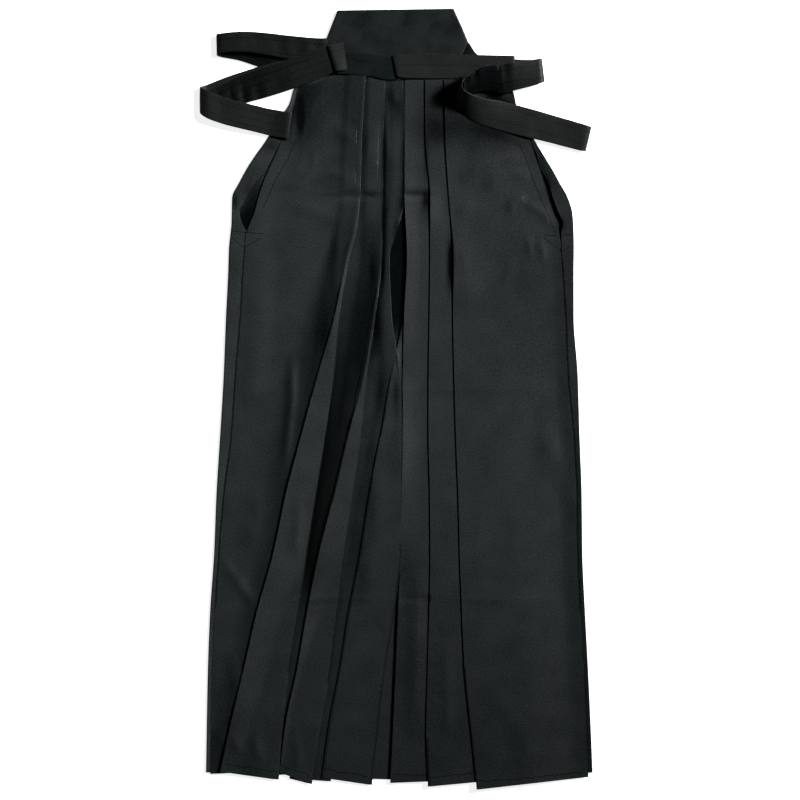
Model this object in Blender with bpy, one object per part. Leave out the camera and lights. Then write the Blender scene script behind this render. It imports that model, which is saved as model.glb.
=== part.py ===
"""Hakama trousers laid flat, front up: pleated fronts, plain backs, gussets, back board, waistband, straps.

+X is to the right across the front, +Y runs up to the back board, +Z points up from the surface it lies on.
Tables are in millimetres. "down" is the distance below the waist seam. A panel is a wall whose sections
run across the garment; each section follows the cloth through its folds, and every run of cloth is laid on
the pile of runs beneath it.
"""

import bmesh
import bpy
import numpy as np

MM = 0.001

# Driving sizes, in millimetres
SEAM_Y = 431.0  # the waist seam above the middle of the garment
WALL = 1.2  # thickness of a panel's wall
STRAP_WALL = 2.0  # thickness of a folded and stitched strap
SEAM_GAP = 0.3  # between two pieces that are sewn edge to edge
LAY_GAP = 0.42  # between two layers that lie on each other
FALL = 0.16  # how steeply cloth comes down beside what it lies on
CROTCH = 492.0  # down from the waist seam to where the legs part
FRONT_LENGTH = 950.0  # waist seam to hem
PLEAT_DEPTH = (20.0, 30.0)  # cloth hidden under a pleat's edge, at the waist and at the hem
BOARD_THICK = 3.6
BAND_TOP = 6.8  # height of the waistband's face
NEST = 5.0  # how far a tuck's inner turn stays inside the pleat's edge

# Places down the fronts where a section is cut, with one where each tuck turns over: 265, 272, 326 and 447
STATIONS = (0, 22, 48, 75, 100, 124, 148, 168, 188, 206, 228, 265, 272, 300, 326, 360, 395, 430, 447, 482, 502, 560,
            620, 680, 740, 800, 860, 910, 950)

# Side of the garment, one row per section: down, then X of the left back's fold, its turned-in edge and the
# left front's edge, and of the right front's edge, the right back's turned-in edge and its fold
SIDES = (
    # down  back_l  turn_l  front_l  front_r turn_r  back_r
    (-27, -86.0, -81.6, -81.0, 81.0, 81.6, 86.0),
    (0, -137.0, -132.6, -132.0, 152.0, 152.6, 157.0),
    (22, -143.5, -137.6, -137.0, 157.6, 158.2, 162.0),
    (48, -159.5, -145.0, -144.4, 168.0, 168.6, 172.4),
    (82, -176.9, -156.8, -156.0, 182.3, 183.6, 188.6),
    (100, -188.4, -164.5, -162.2, 187.0, 189.6, 197.8),
    (120, -200.5, -174.8, -171.1, 193.4, 194.6, 208.9),
    (140, -211.3, -190.1, -179.4, 199.8, 205.7, 219.8),
    (160, -220.7, -202.8, -185.8, 205.5, 211.6, 230.8),
    (180, -221.2, -211.3, -191.2, 211.8, 219.0, 237.0),
    (196, -221.6, -207.4, -197.6, 217.0, 225.6, 238.4),
    (206, -222.6, -202.3, -201.6, 219.9, 222.9, 238.8),
    (228, -224.9, -205.5, -204.9, 223.0, 223.6, 239.2),
    (262, -226.0, -208.2, -207.6, 225.8, 226.4, 238.8),
    (320, -228.9, -211.5, -210.9, 229.5, 230.1, 238.9),
    (400, -232.1, -218.1, -217.5, 233.0, 233.6, 244.4),
    (480, -236.8, -223.7, -223.1, 240.5, 241.1, 246.8),
    (560, -241.8, -233.7, -233.1, 244.7, 245.3, 249.7),
    (640, -245.0, -240.4, -239.8, 245.7, 246.3, 250.6),
    (720, -250.4, -245.8, -245.2, 249.3, 249.9, 254.2),
    (800, -253.3, -248.9, -248.3, 253.3, 253.9, 258.2),
    (950, -255.9, -251.5, -250.9, 259.4, 260.0, 264.3),
)

# Folds of the left front, one row per section: X of pleat edges a, b and c, of the left folds of the strips
# that open over them lower down, and of the innermost strip's two turns
LEFT_FOLDS = (
    # down  strip_1  edge_a  strip_2  edge_b  edge_c  strip_3  edge_3  under_3
    (0, -53.0, -41.3, -21.5, -15.8, 10.4, 14.2, 17.4, 20.2),
    (80, -58.0, -46.3, -22.8, -17.1, 10.3, 14.2, 17.4, 20.2),
    (160, -61.0, -49.3, -24.0, -18.5, 10.3, 14.2, 17.4, 20.0),
    (240, -69.0, -57.2, -24.6, -19.1, -3.6, 13.8, 17.4, 19.6),
    (320, -81.8, -74.1, -33.8, -28.1, -4.2, 8.6, 21.0, 13.0),
    (400, -106.1, -83.7, -46.6, -39.6, 4.6, -6.7, 21.5, 8.0),
    (480, -127.7, -95.4, -64.6, -47.4, -9.0, -21.0, 18.5, 4.0),
    (560, -148.9, -108.0, -83.6, -57.9, -24.4, -36.4, 13.5, -1.5),
    (640, -165.9, -120.0, -104.0, -69.1, -36.8, -48.8, 7.0, -9.0),
    (720, -188.1, -131.4, -120.5, -78.8, -52.4, -64.4, -2.4, -20.0),
    (800, -205.3, -143.9, -133.6, -88.8, -64.7, -76.7, -15.2, -34.0),
    (880, -222.5, -153.2, -149.0, -102.7, -79.0, -91.0, -24.7, -45.0),
    (950, -237.0, -158.5, -157.2, -113.9, -88.3, -100.3, -32.7, -54.0),
)

# Folds of the right front: X of the three pleat edges, which face left
RIGHT_FOLDS = (
    # down  edge_r1  edge_r2  edge_r3
    (0, 11.4, 39.0, 64.7),
    (80, 11.4, 39.4, 66.4),
    (160, 11.6, 46.2, 71.3),
    (240, 14.6, 45.9, 77.6),
    (320, 10.8, 45.0, 76.8),
    (400, 9.0, 43.8, 78.4),
    (480, 8.7, 43.5, 80.5),
    (560, 7.1, 45.5, 83.8),
    (640, 5.5, 46.1, 85.8),
    (720, 2.4, 44.5, 88.7),
    (800, -0.8, 42.5, 92.5),
    (880, -4.4, 40.4, 101.2),
    (950, -7.9, 42.9, 108.7),
)

# Middle seams: X of the left and right fronts' inner edges and of the left and right backs' inner edges
MIDDLE = (
    # down  front_l  front_r  back_l  back_r
    (-27, 23.8, 24.2, 1.8, 2.2),
    (0, 23.8, 24.2, 2.3, 2.7),
    (482, 19.8, 20.2, 19.2, 19.6),
    (502, 16.0, 23.6, 14.5, 24.9),
    (720, 12.0, 19.6, 2.0, 38.0),
    (950, 8.0, 15.6, -15.0, 53.0),
)

# The fronts' top edge: X, and how far down it lies
TOP_EDGE = ((-137, 12), (-108, 5), (-80, -6.5), (-34, -3), (-15, 1.5), (90, 0.7), (157, 16))

# Opening of each strip's tuck: down where its step starts to rise, and where it has folded over
TUCKS = ((205.0, 252.0), (262.0, 430.0), (200.0, 310.0))

# Hem: how much longer than FRONT_LENGTH each front is at its turns, from the side inwards
LEFT_HEM = (-14, -18, -17, -6, -12, -14, -16, 0, -8, -4, -8, -8, -9, 1, -8, -6)
RIGHT_HEM = (-10, 7, -6, 3, -5, -2, -8, -6)
BACK_HEM = (-9, -16)  # at the middle seam and at the side
GUSSET_HEM = -8

# Broad soft folds of the fronts, pressed up from the flat: both ends (X, down), height and half-width
SOFT_FOLDS = (
    # x0  down0  x1  down1  height  half_width
    (-128, 300, -150, 520, 2.2, 20),
    (-190, 130, -165, 330, 2.2, 30),
    (-234, 640, -212, 700, 1.4, 16),
    (110, 120, 200, 205, 2.4, 22),
    (190, 560, 235, 470, 2.0, 26),
    (-60, 320, -88, 560, 1.2, 16),
)

# Straps. A row is one section across the strap: X, Y of the edge nearer the board, X, Y of the other edge,
# and the heights of the two edges at mid-wall
FRONT_LEFT_STRAP = (
    (-71.0, 480.6, -66.1, 443.1, 8.5, 8.5),
    (-91.8, 475.6, -80.7, 441.1, 8.4, 8.4),
    (-115.0, 468.1, -104.0, 433.6, 8.2, 8.2),
    (-140.9, 458.9, -129.8, 424.4, 7.8, 7.8),
    (-163.0, 453.3, -152.0, 418.8, 5.6, 5.6),
    (-187.0, 447.4, -176.1, 412.9, 3.8, 3.8),
    (-206.0, 441.4, -195.0, 407.0, 2.0, 2.0),
    (-227.5, 434.4, -216.4, 399.9, 1.3, 1.3),
    (-257.3, 422.7, -255.6, 390.6, 1.2, 1.2),
    (-263.4, 420.1, -263.4, 385.3, 5.0, 5.0),
    (-257.3, 416.6, -257.3, 379.0, 9.0, 9.0),
    (-231.6, 405.8, -235.6, 370.6, 9.0, 9.0),
    (-206.0, 399.0, -213.0, 364.6, 9.4, 9.4),
    (-190.0, 395.2, -197.0, 360.9, 7.0, 7.0),
    (-173.4, 391.1, -181.5, 357.1, 5.6, 5.6),
    (-160.0, 388.3, -168.4, 353.9, 6.8, 6.8),
    (-144.2, 385.4, -150.2, 350.9, 6.7, 6.7),
    (-140.2, 385.3, -146.2, 349.7, 5.5, 5.5),
    (-144.2, 385.9, -150.2, 351.2, 4.3, 4.3),
    (-160.0, 388.9, -168.4, 354.3, 4.3, 4.3),
    (-175.0, 391.6, -183.0, 357.6, 2.4, 2.4),
    (-192.0, 395.7, -199.0, 361.6, 4.2, 4.2),
    (-207.0, 399.4, -213.0, 364.8, 6.8, 6.8),
    (-235.6, 407.4, -236.9, 373.2, 6.4, 6.4),
    (-245.6, 413.1, -246.0, 379.4, 6.4, 6.4),
    (-250.6, 415.6, -250.4, 381.2, 5.05, 5.05),
    (-245.6, 417.6, -246.0, 382.8, 3.7, 3.7),
    (-222.0, 429.4, -216.0, 393.0, 3.75, 3.75),
    (-205.9, 436.6, -200.0, 399.3, 4.4, 4.4),
    (-187.0, 442.9, -180.5, 404.5, 6.3, 6.3),
    (-163.0, 450.8, -154.5, 412.3, 8.4, 8.4),
    (-142.0, 458.3, -134.0, 419.2, 10.5, 10.5),
    (-120.0, 465.6, -112.0, 427.0, 11.0, 11.0),
    (-91.0, 474.6, -80.4, 439.0, 11.1, 11.1),
)

BACK_LEFT_STRAP = (
    (-95.0, 485.3, -89.6, 461.6, 2.0, 2.0),
    (-110.0, 486.4, -108.0, 456.0, 3.6, 3.6),
    (-126.4, 487.7, -128.7, 454.5, 3.8, 4.0),
    (-147.7, 489.8, -148.1, 458.3, 3.8, 5.2),
    (-166.9, 492.1, -169.7, 462.6, 3.9, 12.0),
    (-190.0, 494.2, -192.0, 466.3, 4.0, 18.0),
    (-210.2, 494.8, -213.0, 467.6, 4.0, 19.5),
    (-227.5, 493.6, -227.5, 466.9, 4.0, 17.0),
    (-238.4, 492.0, -237.6, 464.6, 3.6, 12.0),
    (-241.2, 491.7, -240.5, 462.5, 2.6, 5.6),
    (-236.0, 491.4, -236.5, 460.6, 1.3, 2.2),
    (-211.3, 491.7, -213.0, 456.1, 1.2, 1.2),
    (-181.5, 483.5, -187.0, 447.7, 1.2, 1.2),
    (-150.0, 473.0, -157.0, 438.5, 1.2, 1.2),
)

FRONT_RIGHT_STRAP = (
    (75.6, 461.2, 75.6, 431.5, 8.3, 8.3),
    (92.0, 461.2, 92.0, 431.0, 8.3, 8.3),
    (112.0, 461.0, 112.0, 431.0, 7.2, 7.2),
    (147.0, 460.5, 147.0, 431.0, 6.8, 6.8),
    (157.8, 461.4, 158.0, 431.0, 6.8, 6.8),
    (160.4, 461.9, 160.6, 431.0, 7.9, 7.9),
    (157.8, 462.3, 158.0, 431.2, 9.1, 9.1),
    (147.0, 462.5, 147.0, 431.2, 9.2, 9.2),
    (112.0, 463.3, 112.0, 431.4, 9.7, 9.7),
    (92.0, 463.8, 92.0, 431.1, 10.7, 10.7),
    (59.3, 464.1, 59.3, 431.3, 10.7, 10.7),
    (8.0, 464.2, 10.0, 432.2, 10.7, 10.7),
    (-3.0, 462.8, 2.4, 433.4, 10.6, 10.6),
    (-5.8, 462.3, 0.0, 434.8, 9.5, 9.5),
    (-3.0, 461.8, 2.4, 435.0, 8.4, 8.4),
    (8.0, 461.5, 10.0, 434.0, 8.3, 8.3),
    (59.3, 461.5, 59.3, 432.5, 8.3, 8.3),
)

BACK_RIGHT_STRAP = (
    (99.5, 478.4, 94.4, 457.0, 3.4, 3.8),
    (110.7, 463.6, 105.3, 430.8, 4.3, 4.3),
    (140.5, 459.9, 137.8, 424.0, 4.3, 4.3),
    (167.6, 457.3, 167.6, 421.3, 2.8, 2.8),
    (186.5, 457.3, 189.2, 424.7, 1.5, 1.5),
    (194.0, 458.8, 197.4, 427.0, 2.4, 2.4),
    (196.2, 458.9, 200.0, 427.1, 5.8, 5.8),
    (194.0, 458.6, 197.4, 426.0, 9.2, 9.2),
    (186.5, 457.0, 189.9, 422.9, 10.2, 10.2),
    (162.2, 453.9, 159.5, 415.2, 13.4, 9.8),
    (140.5, 449.1, 144.6, 411.0, 17.4, 8.6),
    (118.9, 447.7, 124.3, 415.9, 24.0, 8.2),
    (104.0, 440.3, 102.6, 411.9, 30.0, 8.6),
    (92.5, 431.5, 86.4, 408.5, 35.0, 9.4),
    (88.7, 424.8, 80.3, 404.4, 37.0, 9.8),
    (90.3, 417.3, 79.2, 399.7, 37.0, 9.8),
    (97.9, 410.2, 84.1, 389.5, 34.0, 9.4),
    (108.0, 406.4, 96.4, 378.8, 28.0, 8.6),
    (119.4, 403.3, 111.7, 370.4, 19.5, 7.8),
    (140.5, 401.0, 132.4, 363.8, 10.2, 7.2),
    (162.2, 395.7, 154.0, 357.7, 6.8, 6.8),
    (187.9, 388.8, 178.4, 351.8, 6.6, 6.6),
    (214.5, 381.1, 204.8, 345.6, 4.6, 4.6),
    (242.0, 373.2, 232.5, 338.4, 3.9, 3.9),
    (258.0, 368.4, 250.5, 334.0, 3.8, 3.8),
    (263.2, 366.4, 255.6, 333.4, 2.6, 2.6),
)
INNER_FIRST_ROW = 10  # the right back strap's second layer ends here, inside the loop

# Back board outline, anticlockwise from the lower left
BOARD = ((-86.0, 457.9), (-88.0, 466.0), (-94.2, 485.9), (-79.3, 523.7), (77.6, 526.0), (90.3, 498.4), (97.7, 480.2),
         (90.3, 466.0), (86.5, 457.9))
BOARD_EDGE = 1.1  # height of the rounding at the board's rim

# Waistband: X, Y of the upper edge, and it ends below at the fronts' top edge
BAND = ((-79.5, 467.0), (-66.0, 468.0), (-34.0, 465.0), (-6.0, 462.3), (38.0, 463.0), (79.5, 462.6))
BAND_STEP_Y = 455.6  # below this the band lies on the backs, above it on the board


def smooth(knots, values, at):
    """A curve through the values with no overshoot between them (monotone cubic)."""
    knots = np.asarray(knots, float)
    values = np.asarray(values, float)
    step = np.diff(knots)
    slope = np.diff(values) / step
    bend = np.zeros(len(knots))
    bend[0], bend[-1] = slope[0], slope[-1]
    same = slope[:-1] * slope[1:] > 0
    harmonic = 2 * slope[:-1] * slope[1:] / np.where(same, slope[:-1] + slope[1:], 1)
    bend[1:-1] = np.where(same, harmonic, 0)
    at = np.clip(at, knots[0], knots[-1])
    i = np.clip(np.searchsorted(knots, at) - 1, 0, len(step) - 1)
    t = (at - knots[i]) / step[i]
    rise = values[i + 1] - values[i]
    start, end = bend[i] * step[i], bend[i + 1] * step[i]
    return values[i] + t * start + t * t * (3 * rise - 2 * start - end) + t**3 * (start + end - 2 * rise)


def columns(table, down):
    """The row of a section table at any place down the garment."""
    rows = np.array(table, float)
    return [float(smooth(rows[:, 0], rows[:, k], down)) for k in range(1, rows.shape[1])]


def middle_seams(down):
    """X of both fronts' and both backs' inner edges, which run straight from row to row."""
    rows = np.array(MIDDLE, float)
    return [float(np.interp(down, rows[:, 0], rows[:, k])) for k in range(1, rows.shape[1])]


def ease(start, end, value):
    t = min(max((value - start) / (end - start), 0), 1)
    return t * t * (3 - 2 * t)


def pleat_depth(down):
    return PLEAT_DEPTH[0] + (PLEAT_DEPTH[1] - PLEAT_DEPTH[0]) * down / FRONT_LENGTH


def soft_rise(x, down):
    """How far the broad soft folds lift the cloth at places across one section."""
    rise = np.zeros_like(x)
    for x0, down0, x1, down1, height, half_width in SOFT_FOLDS:
        along = np.array([x1 - x0, down1 - down0])
        length = np.hypot(*along)
        t = ((x - x0) * along[0] + (down - down0) * along[1]) / length**2
        off = ((x - x0) * along[1] - (down - down0) * along[0]) / length
        beyond = np.maximum(0, np.abs(t - 0.5) - 0.35) * length
        rise = np.maximum(rise, height * np.exp(-((off / half_width) ** 2) - (beyond / (1.6 * half_width)) ** 2))
    return rise


class Pile:
    """The top of what lies on the surface so far, across one section."""

    def __init__(self, down, low, high):
        self.down = down
        self.x = np.arange(-280.0, 280.5, 0.5)
        self.top = np.where((self.x > low) & (self.x < high), WALL, 0.0)

    def cover(self, low, high, height):
        inside = (self.x > low) & (self.x < high)
        self.top[inside] = np.maximum(self.top[inside], height)

    def tent(self):
        """The height that cloth keeps over the pile, coming down gently beside each step."""
        forward = np.maximum.accumulate(self.top + FALL * self.x) - FALL * self.x
        backward = (np.maximum.accumulate((self.top - FALL * self.x)[::-1]))[::-1] + FALL * self.x
        return np.maximum(forward, backward) + LAY_GAP + WALL / 2

    def heights(self, knots, soft):
        """Mid-wall heights at the knots of a run so that all of it clears the pile."""
        floor = self.tent()
        if soft:
            floor = floor + soft_rise(self.x, self.down)
        order = np.argsort(knots)
        x = np.asarray(knots, float)[order]
        z = np.interp(x, self.x, floor)
        inside = (self.x >= x[0]) & (self.x <= x[-1])
        for _ in range(4):
            short = floor[inside] - np.interp(self.x[inside], x, z)
            segment = np.clip(np.searchsorted(x, self.x[inside]) - 1, 0, len(x) - 2)
            for k in range(len(x) - 1):
                here = short[segment == k]
                lack = here.max() if len(here) else 0
                if lack > 0.01:
                    z[k] += lack
                    z[k + 1] += lack
        result = np.empty_like(z)
        result[order] = z
        return result

    def lay(self, knots, z, margin):
        order = np.argsort(knots)
        x = np.asarray(knots, float)[order]
        inside = (self.x > x[0] - margin) & (self.x < x[-1] + margin)
        line = np.interp(self.x[inside], x, np.asarray(z)[order]) + WALL / 2
        self.top[inside] = np.maximum(self.top[inside], line)


def folded_section(pile, turns, inside, order, low, opening, soft, laid):
    """Lay one panel's section on the pile and return its mid-wall points as (x, z, place along the turns).

    turns: X of each turn of the cloth from the side edge to the inner edge, both edges included.
    inside: how many knots each run between two turns has inside it; order: runs from the lowest up.
    low: run -> (run whose pile it starts from, how far it has risen from that to its place in the stack).
    opening: turn -> from -1, where it and the next turn are still flat, to 1, where both have folded over.
    """
    runs = len(turns) - 1
    knots = [np.linspace(turns[k], turns[k + 1], inside[k] + 2) for k in range(runs)]
    heights = dict(laid)
    starts = {}
    for k in order:
        starts[k] = pile.top.copy()
        z = pile.heights(knots[k], k in soft)
        if k in low:
            first, risen = low[k]
            stacked, pile.top = pile.top, starts[first]
            flat = pile.heights(knots[k], k in soft)
            pile.top = stacked
            z = flat + (z - flat) * risen
        heights[k] = z
        margin = (0 if k == 0 or k == runs - 1 else WALL)
        pile.lay(knots[k], z, margin)
    points = [(turns[0], heights[0][0], 0.0)]
    for k in range(runs):
        count = inside[k] + 1
        for j in range(1, count):
            points.append((knots[k][j], heights[k][j], k + j / count))
        if k == runs - 1:
            break
        turn = k + 1
        here, after = heights[k][-1], heights[turn][0]
        radius = min(max(abs(after - here) / 2, 0.6), 2.4)
        came = -np.sign(turns[turn] - turns[k])
        goes = np.sign(turns[turn + 1] - turns[turn])
        middle = (here + after) / 2
        if turn in opening:
            came, goes = -1, -opening[turn]
            steep = (1 - abs(opening[turn])) * (after - here)
            after, middle = after - 0.3 * steep, middle - 0.15 * steep
        if k in opening:
            came, goes = opening[k], 1
            steep = (1 - abs(opening[k])) * (after - here)
            here, middle = here + 0.3 * steep, middle + 0.15 * steep
        points.append((turns[turn] + came * radius, here, turn - 0.03))
        points.append((turns[turn], middle, float(turn)))
        points.append((turns[turn] + goes * radius, after, turn + 0.03))
    points.append((turns[-1], heights[runs - 1][-1], float(runs)))
    return np.array(points)


def place_down(points, down, hem):
    """Add Y to a section's points: level, but following the waist seam at the top and the hem below."""
    x = points[:, 0]
    edge = np.array(TOP_EDGE, float)
    top = smooth(edge[:, 0], edge[:, 1], x) * ease(-26, 0, down) * (1 - ease(0, 130, down))
    extra = np.interp(points[:, 2], np.arange(len(hem)), hem) * ease(700, FRONT_LENGTH, down)
    return np.column_stack([x, SEAM_Y - (down + top + extra), points[:, 1]])


def offset_ring(mid, half):
    """A wall's outline round its mid-line: one side out and the other back, in the section's own plane."""
    flat = mid[:, [0, 2]]
    before = np.vstack([flat[1] - flat[0], np.diff(flat, axis=0)])
    after = np.vstack([np.diff(flat, axis=0), flat[-1] - flat[-2]])
    before /= np.linalg.norm(before, axis=1)[:, None]
    after /= np.linalg.norm(after, axis=1)[:, None]
    along = before + after
    size = np.linalg.norm(along, axis=1)
    along /= size[:, None]
    stretch = np.minimum(2 / size, 1.25)
    normal = np.column_stack([-along[:, 1], along[:, 0]]) * (half * stretch)[:, None]
    out, back = mid.copy(), mid.copy()
    out[:, [0, 2]] += normal
    back[:, [0, 2]] -= normal
    return out, back


def new_object(name, vertices, faces, material):
    mesh = bpy.data.meshes.new(name)
    mesh.from_pydata([tuple(v) for v in np.asarray(vertices) * MM], [], faces)
    work = bmesh.new()
    work.from_mesh(mesh)
    bmesh.ops.recalc_face_normals(work, faces=work.faces)
    bmesh.ops.triangulate(work, faces=work.faces)
    work.to_mesh(mesh)
    work.free()
    mesh.materials.append(material)
    mesh.shade_smooth()
    mesh.set_sharp_from_angle(angle=0.7)
    thing = bpy.data.objects.new(name, mesh)
    bpy.context.scene.collection.objects.link(thing)
    return thing


def wall_from_sections(name, sections, half, material):
    """A closed wall through sections that all have the same number of mid-wall points."""
    count = len(sections[0])
    ring = 2 * count
    vertices, faces = [], []
    for mid in sections:
        out, back = offset_ring(mid, half)
        vertices.extend(out)
        vertices.extend(back[::-1])
    for s in range(len(sections) - 1):
        for k in range(ring):
            a, b = s * ring + k, s * ring + (k + 1) % ring
            faces.append((a, b, b + ring, a + ring))
    for start in (0, (len(sections) - 1) * ring):
        for k in range(count - 1):
            faces.append((start + k, start + k + 1, start + ring - 2 - k, start + ring - 1 - k))
    return new_object(name, vertices, faces, material)


def ribbon_frames(rows):
    """Both edges of a strap and the direction through its thickness at each row."""
    rows = np.array(rows, float)
    first = rows[:, [0, 1, 4]]
    second = rows[:, [2, 3, 5]]
    middle = (first + second) / 2
    along = np.gradient(middle, axis=0)
    across = second - first
    through = np.cross(along, across)
    through /= np.linalg.norm(through, axis=1)[:, None]
    return first, second, through


def strap(name, first, second, through, material):
    """A strap as a closed ribbon with softly rounded edges."""
    half = STRAP_WALL / 2
    vertices, faces = [], []
    for a, b, n in zip(first, second, through):
        across = (b - a) / np.linalg.norm(b - a)
        inset = across * half * 0.8
        vertices += [a, a + inset + n * half, b - inset + n * half, b, b - inset - n * half, a + inset - n * half]
    for s in range(len(first) - 1):
        for k in range(6):
            i, j = s * 6 + k, s * 6 + (k + 1) % 6
            faces.append((i, j, j + 6, i + 6))
    last = (len(first) - 1) * 6
    for start in (0, last):
        faces.append((start, start + 1, start + 5))
        faces.append((start + 1, start + 2, start + 4, start + 5))
        faces.append((start + 2, start + 3, start + 4))
    return new_object(name, vertices, faces, material)


def cloth(name, colour, roughness):
    material = bpy.data.materials.new(name)
    material.use_nodes = True
    shader = material.node_tree.nodes["Principled BSDF"]
    shader.inputs["Base Color"].default_value = (*colour, 1)
    shader.inputs["Roughness"].default_value = roughness
    shader.inputs["Metallic"].default_value = 0
    return material


def left_turns(down):
    """X of the left front's turns, and how far each strip's tuck has risen and folded over."""
    front_l = columns(SIDES, down)[2]
    strip_1, edge_a, strip_2, edge_b, edge_c, strip_3, edge_3, under_3 = columns(LEFT_FOLDS, down)
    depth = pleat_depth(down)
    inner = []
    for edge, strip, (_, end) in zip((edge_a, edge_b, edge_3), (strip_1, strip_2, strip_3), TUCKS):
        shut, folded = strip - 4.0, max(edge - NEST, strip + 2.6)
        inner.append(shut + (folded - shut) * ease(end, end + 42, down))
    turns = [front_l, inner[0], strip_1, edge_a, edge_a - depth, inner[1], strip_2, edge_b, edge_b - depth, edge_c,
             edge_c - 0.8 * depth, inner[2], strip_3, edge_3, under_3, middle_seams(down)[0]]
    opening = {turn: float(np.clip((turns[turn] - turns[turn + 1]) / 1.6, -1, 1)) for turn in (1, 5, 11, 13)}
    rise = [ease(start, end, down) for start, end in TUCKS]
    rise[2] = ease(TUCKS[2][0], TUCKS[2][0] + 48, down)
    low = {1: (0, rise[0]), 2: (0, rise[0]), 5: (4, rise[1]), 6: (4, rise[1]), 13: (14, rise[2]), 10: (14, rise[2]),
           11: (14, rise[2]), 12: (14, rise[2])}
    return turns, low, opening


LEFT_INSIDE = (4, 0, 1, 1, 3, 0, 1, 1, 2, 1, 1, 0, 1, 0, 1)
LEFT_ORDER = (14, 13, 10, 9, 8, 11, 12, 7, 4, 5, 6, 3, 0, 1, 2)
LEFT_SOFT = (0, 2, 4, 6, 8, 12)
RIGHT_INSIDE = (6, 1, 2, 1, 2, 1, 1)
RIGHT_ORDER = (5, 4, 3, 2, 1, 0)
RIGHT_SOFT = (0, 2, 4)


def front_sections(down):
    """Mid-wall points of the left and the right front at one place down the garment."""
    back_l, _, _, front_r, _, back_r = columns(SIDES, down)
    edge_r1, edge_r2, edge_r3 = columns(RIGHT_FOLDS, down)
    middle_l, middle_r, _, _ = middle_seams(down)
    depth = pleat_depth(down)
    pile = Pile(down, back_l, back_r)
    right = [front_r, edge_r3, edge_r3 + depth, edge_r2, edge_r2 + depth, edge_r1, edge_r1 + depth, middle_r]
    last = len(right) - 2
    lowest = pile.heights(np.linspace(right[last], right[last + 1], RIGHT_INSIDE[last] + 2), False)
    pile.lay(right[last:], lowest[[0, -1]], 0)
    pile.cover(middle_l, middle_r, lowest.max() + WALL / 2)
    turns, low, opening = left_turns(down)
    left = folded_section(pile, turns, LEFT_INSIDE, LEFT_ORDER, low, opening, LEFT_SOFT, {})
    right = folded_section(pile, right, RIGHT_INSIDE, RIGHT_ORDER, {}, {}, RIGHT_SOFT, {last: lowest})
    return place_down(left, down, LEFT_HEM), place_down(right, down, RIGHT_HEM)


BODY_COLOUR = (0.016, 0.019, 0.019)
STRAP_COLOUR = (0.021, 0.023, 0.021)
LEVELS = (WALL / 2, WALL + LAY_GAP + WALL / 2)  # mid-wall heights of the lowest two layers
TURN = (LEVELS[1] - LEVELS[0]) / 2


def build_fronts():
    sections = [front_sections(down) for down in STATIONS]
    left = [pair[0] for pair in sections]
    right = [pair[1] for pair in sections]
    wall_from_sections("front_left", left, WALL / 2, cloth("front_left_cloth", BODY_COLOUR, 0.72))
    wall_from_sections("front_right", right, WALL / 2, cloth("front_right_cloth", BODY_COLOUR, 0.72))


def back_section(down, side):
    """A back lies flat, turns up at the side and comes round to the front as far as the side seam or slit."""
    back_l, turn_l, _, _, turn_r, back_r = columns(SIDES, down)
    _, _, inner_l, inner_r = middle_seams(down)
    fold, turned, inner = (back_l, turn_l, inner_l) if side < 0 else (back_r, turn_r, inner_r)
    apex = fold - side * WALL / 2
    xs = [inner, inner + (apex - inner) * 0.5, apex - side * TURN, apex, apex - side * TURN, turned]
    zs = [LEVELS[0], LEVELS[0], LEVELS[0], sum(LEVELS) / 2, LEVELS[1], LEVELS[1]]
    along = (0, 0.5, 1, 1, 1, 1)
    return place_down(np.column_stack([xs, zs, along]), down, BACK_HEM)


def build_backs():
    downs = (-26.6,) + STATIONS
    for side, name in ((-1, "back_left"), (1, "back_right")):
        sections = [back_section(down, side) for down in downs]
        wall_from_sections(name, sections, WALL / 2, cloth(name + "_cloth", BODY_COLOUR, 0.72))


def gusset_section(down, side):
    """A gusset runs from the back's inner edge to the inner fold of the leg and up to the front's edge."""
    front_l, front_r, back_l, back_r = middle_seams(down)
    front, back = (front_l, back_l) if side < 0 else (front_r, back_r)
    apex = front - side * 3.0
    xs = [back - side * SEAM_GAP, (back + apex) / 2, apex + side * TURN, apex, apex + side * TURN,
          front - side * SEAM_GAP]
    zs = [LEVELS[0], LEVELS[0], LEVELS[0], sum(LEVELS) / 2, LEVELS[1], LEVELS[1]]
    return place_down(np.column_stack([xs, zs, np.zeros(6)]), down, (GUSSET_HEM, GUSSET_HEM))


def build_gussets():
    downs = [down for down in STATIONS if down > CROTCH]
    for side, name in ((-1, "gusset_left"), (1, "gusset_right")):
        sections = [gusset_section(down, side) for down in downs]
        wall_from_sections(name, sections, WALL / 2, cloth(name + "_cloth", BODY_COLOUR, 0.72))


def stacked_rings(name, rings, material):
    """A solid through rings of points, closed by a flat face at each end."""
    count = len(rings[0])
    vertices = np.vstack(rings)
    faces = [tuple(range(count)), tuple(range((len(rings) - 1) * count, len(rings) * count))]
    for r in range(len(rings) - 1):
        for k in range(count):
            a, b = r * count + k, r * count + (k + 1) % count
            faces.append((a, b, b + count, a + count))
    return new_object(name, vertices, faces, material)


def build_board():
    outline = np.array(BOARD)
    middle = (outline.min(axis=0) + outline.max(axis=0)) / 2
    size = outline.max(axis=0) - outline.min(axis=0)
    rings = []
    for inset, z in ((BOARD_EDGE, 0), (0, BOARD_EDGE), (0, BOARD_THICK - BOARD_EDGE), (BOARD_EDGE, BOARD_THICK)):
        scaled = middle + (outline - middle) * (1 - 2 * inset / size)
        rings.append(np.column_stack([scaled, np.full(len(scaled), z)]))
    stacked_rings("back_board", rings, cloth("back_board_cloth", STRAP_COLOUR, 0.75))


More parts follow.
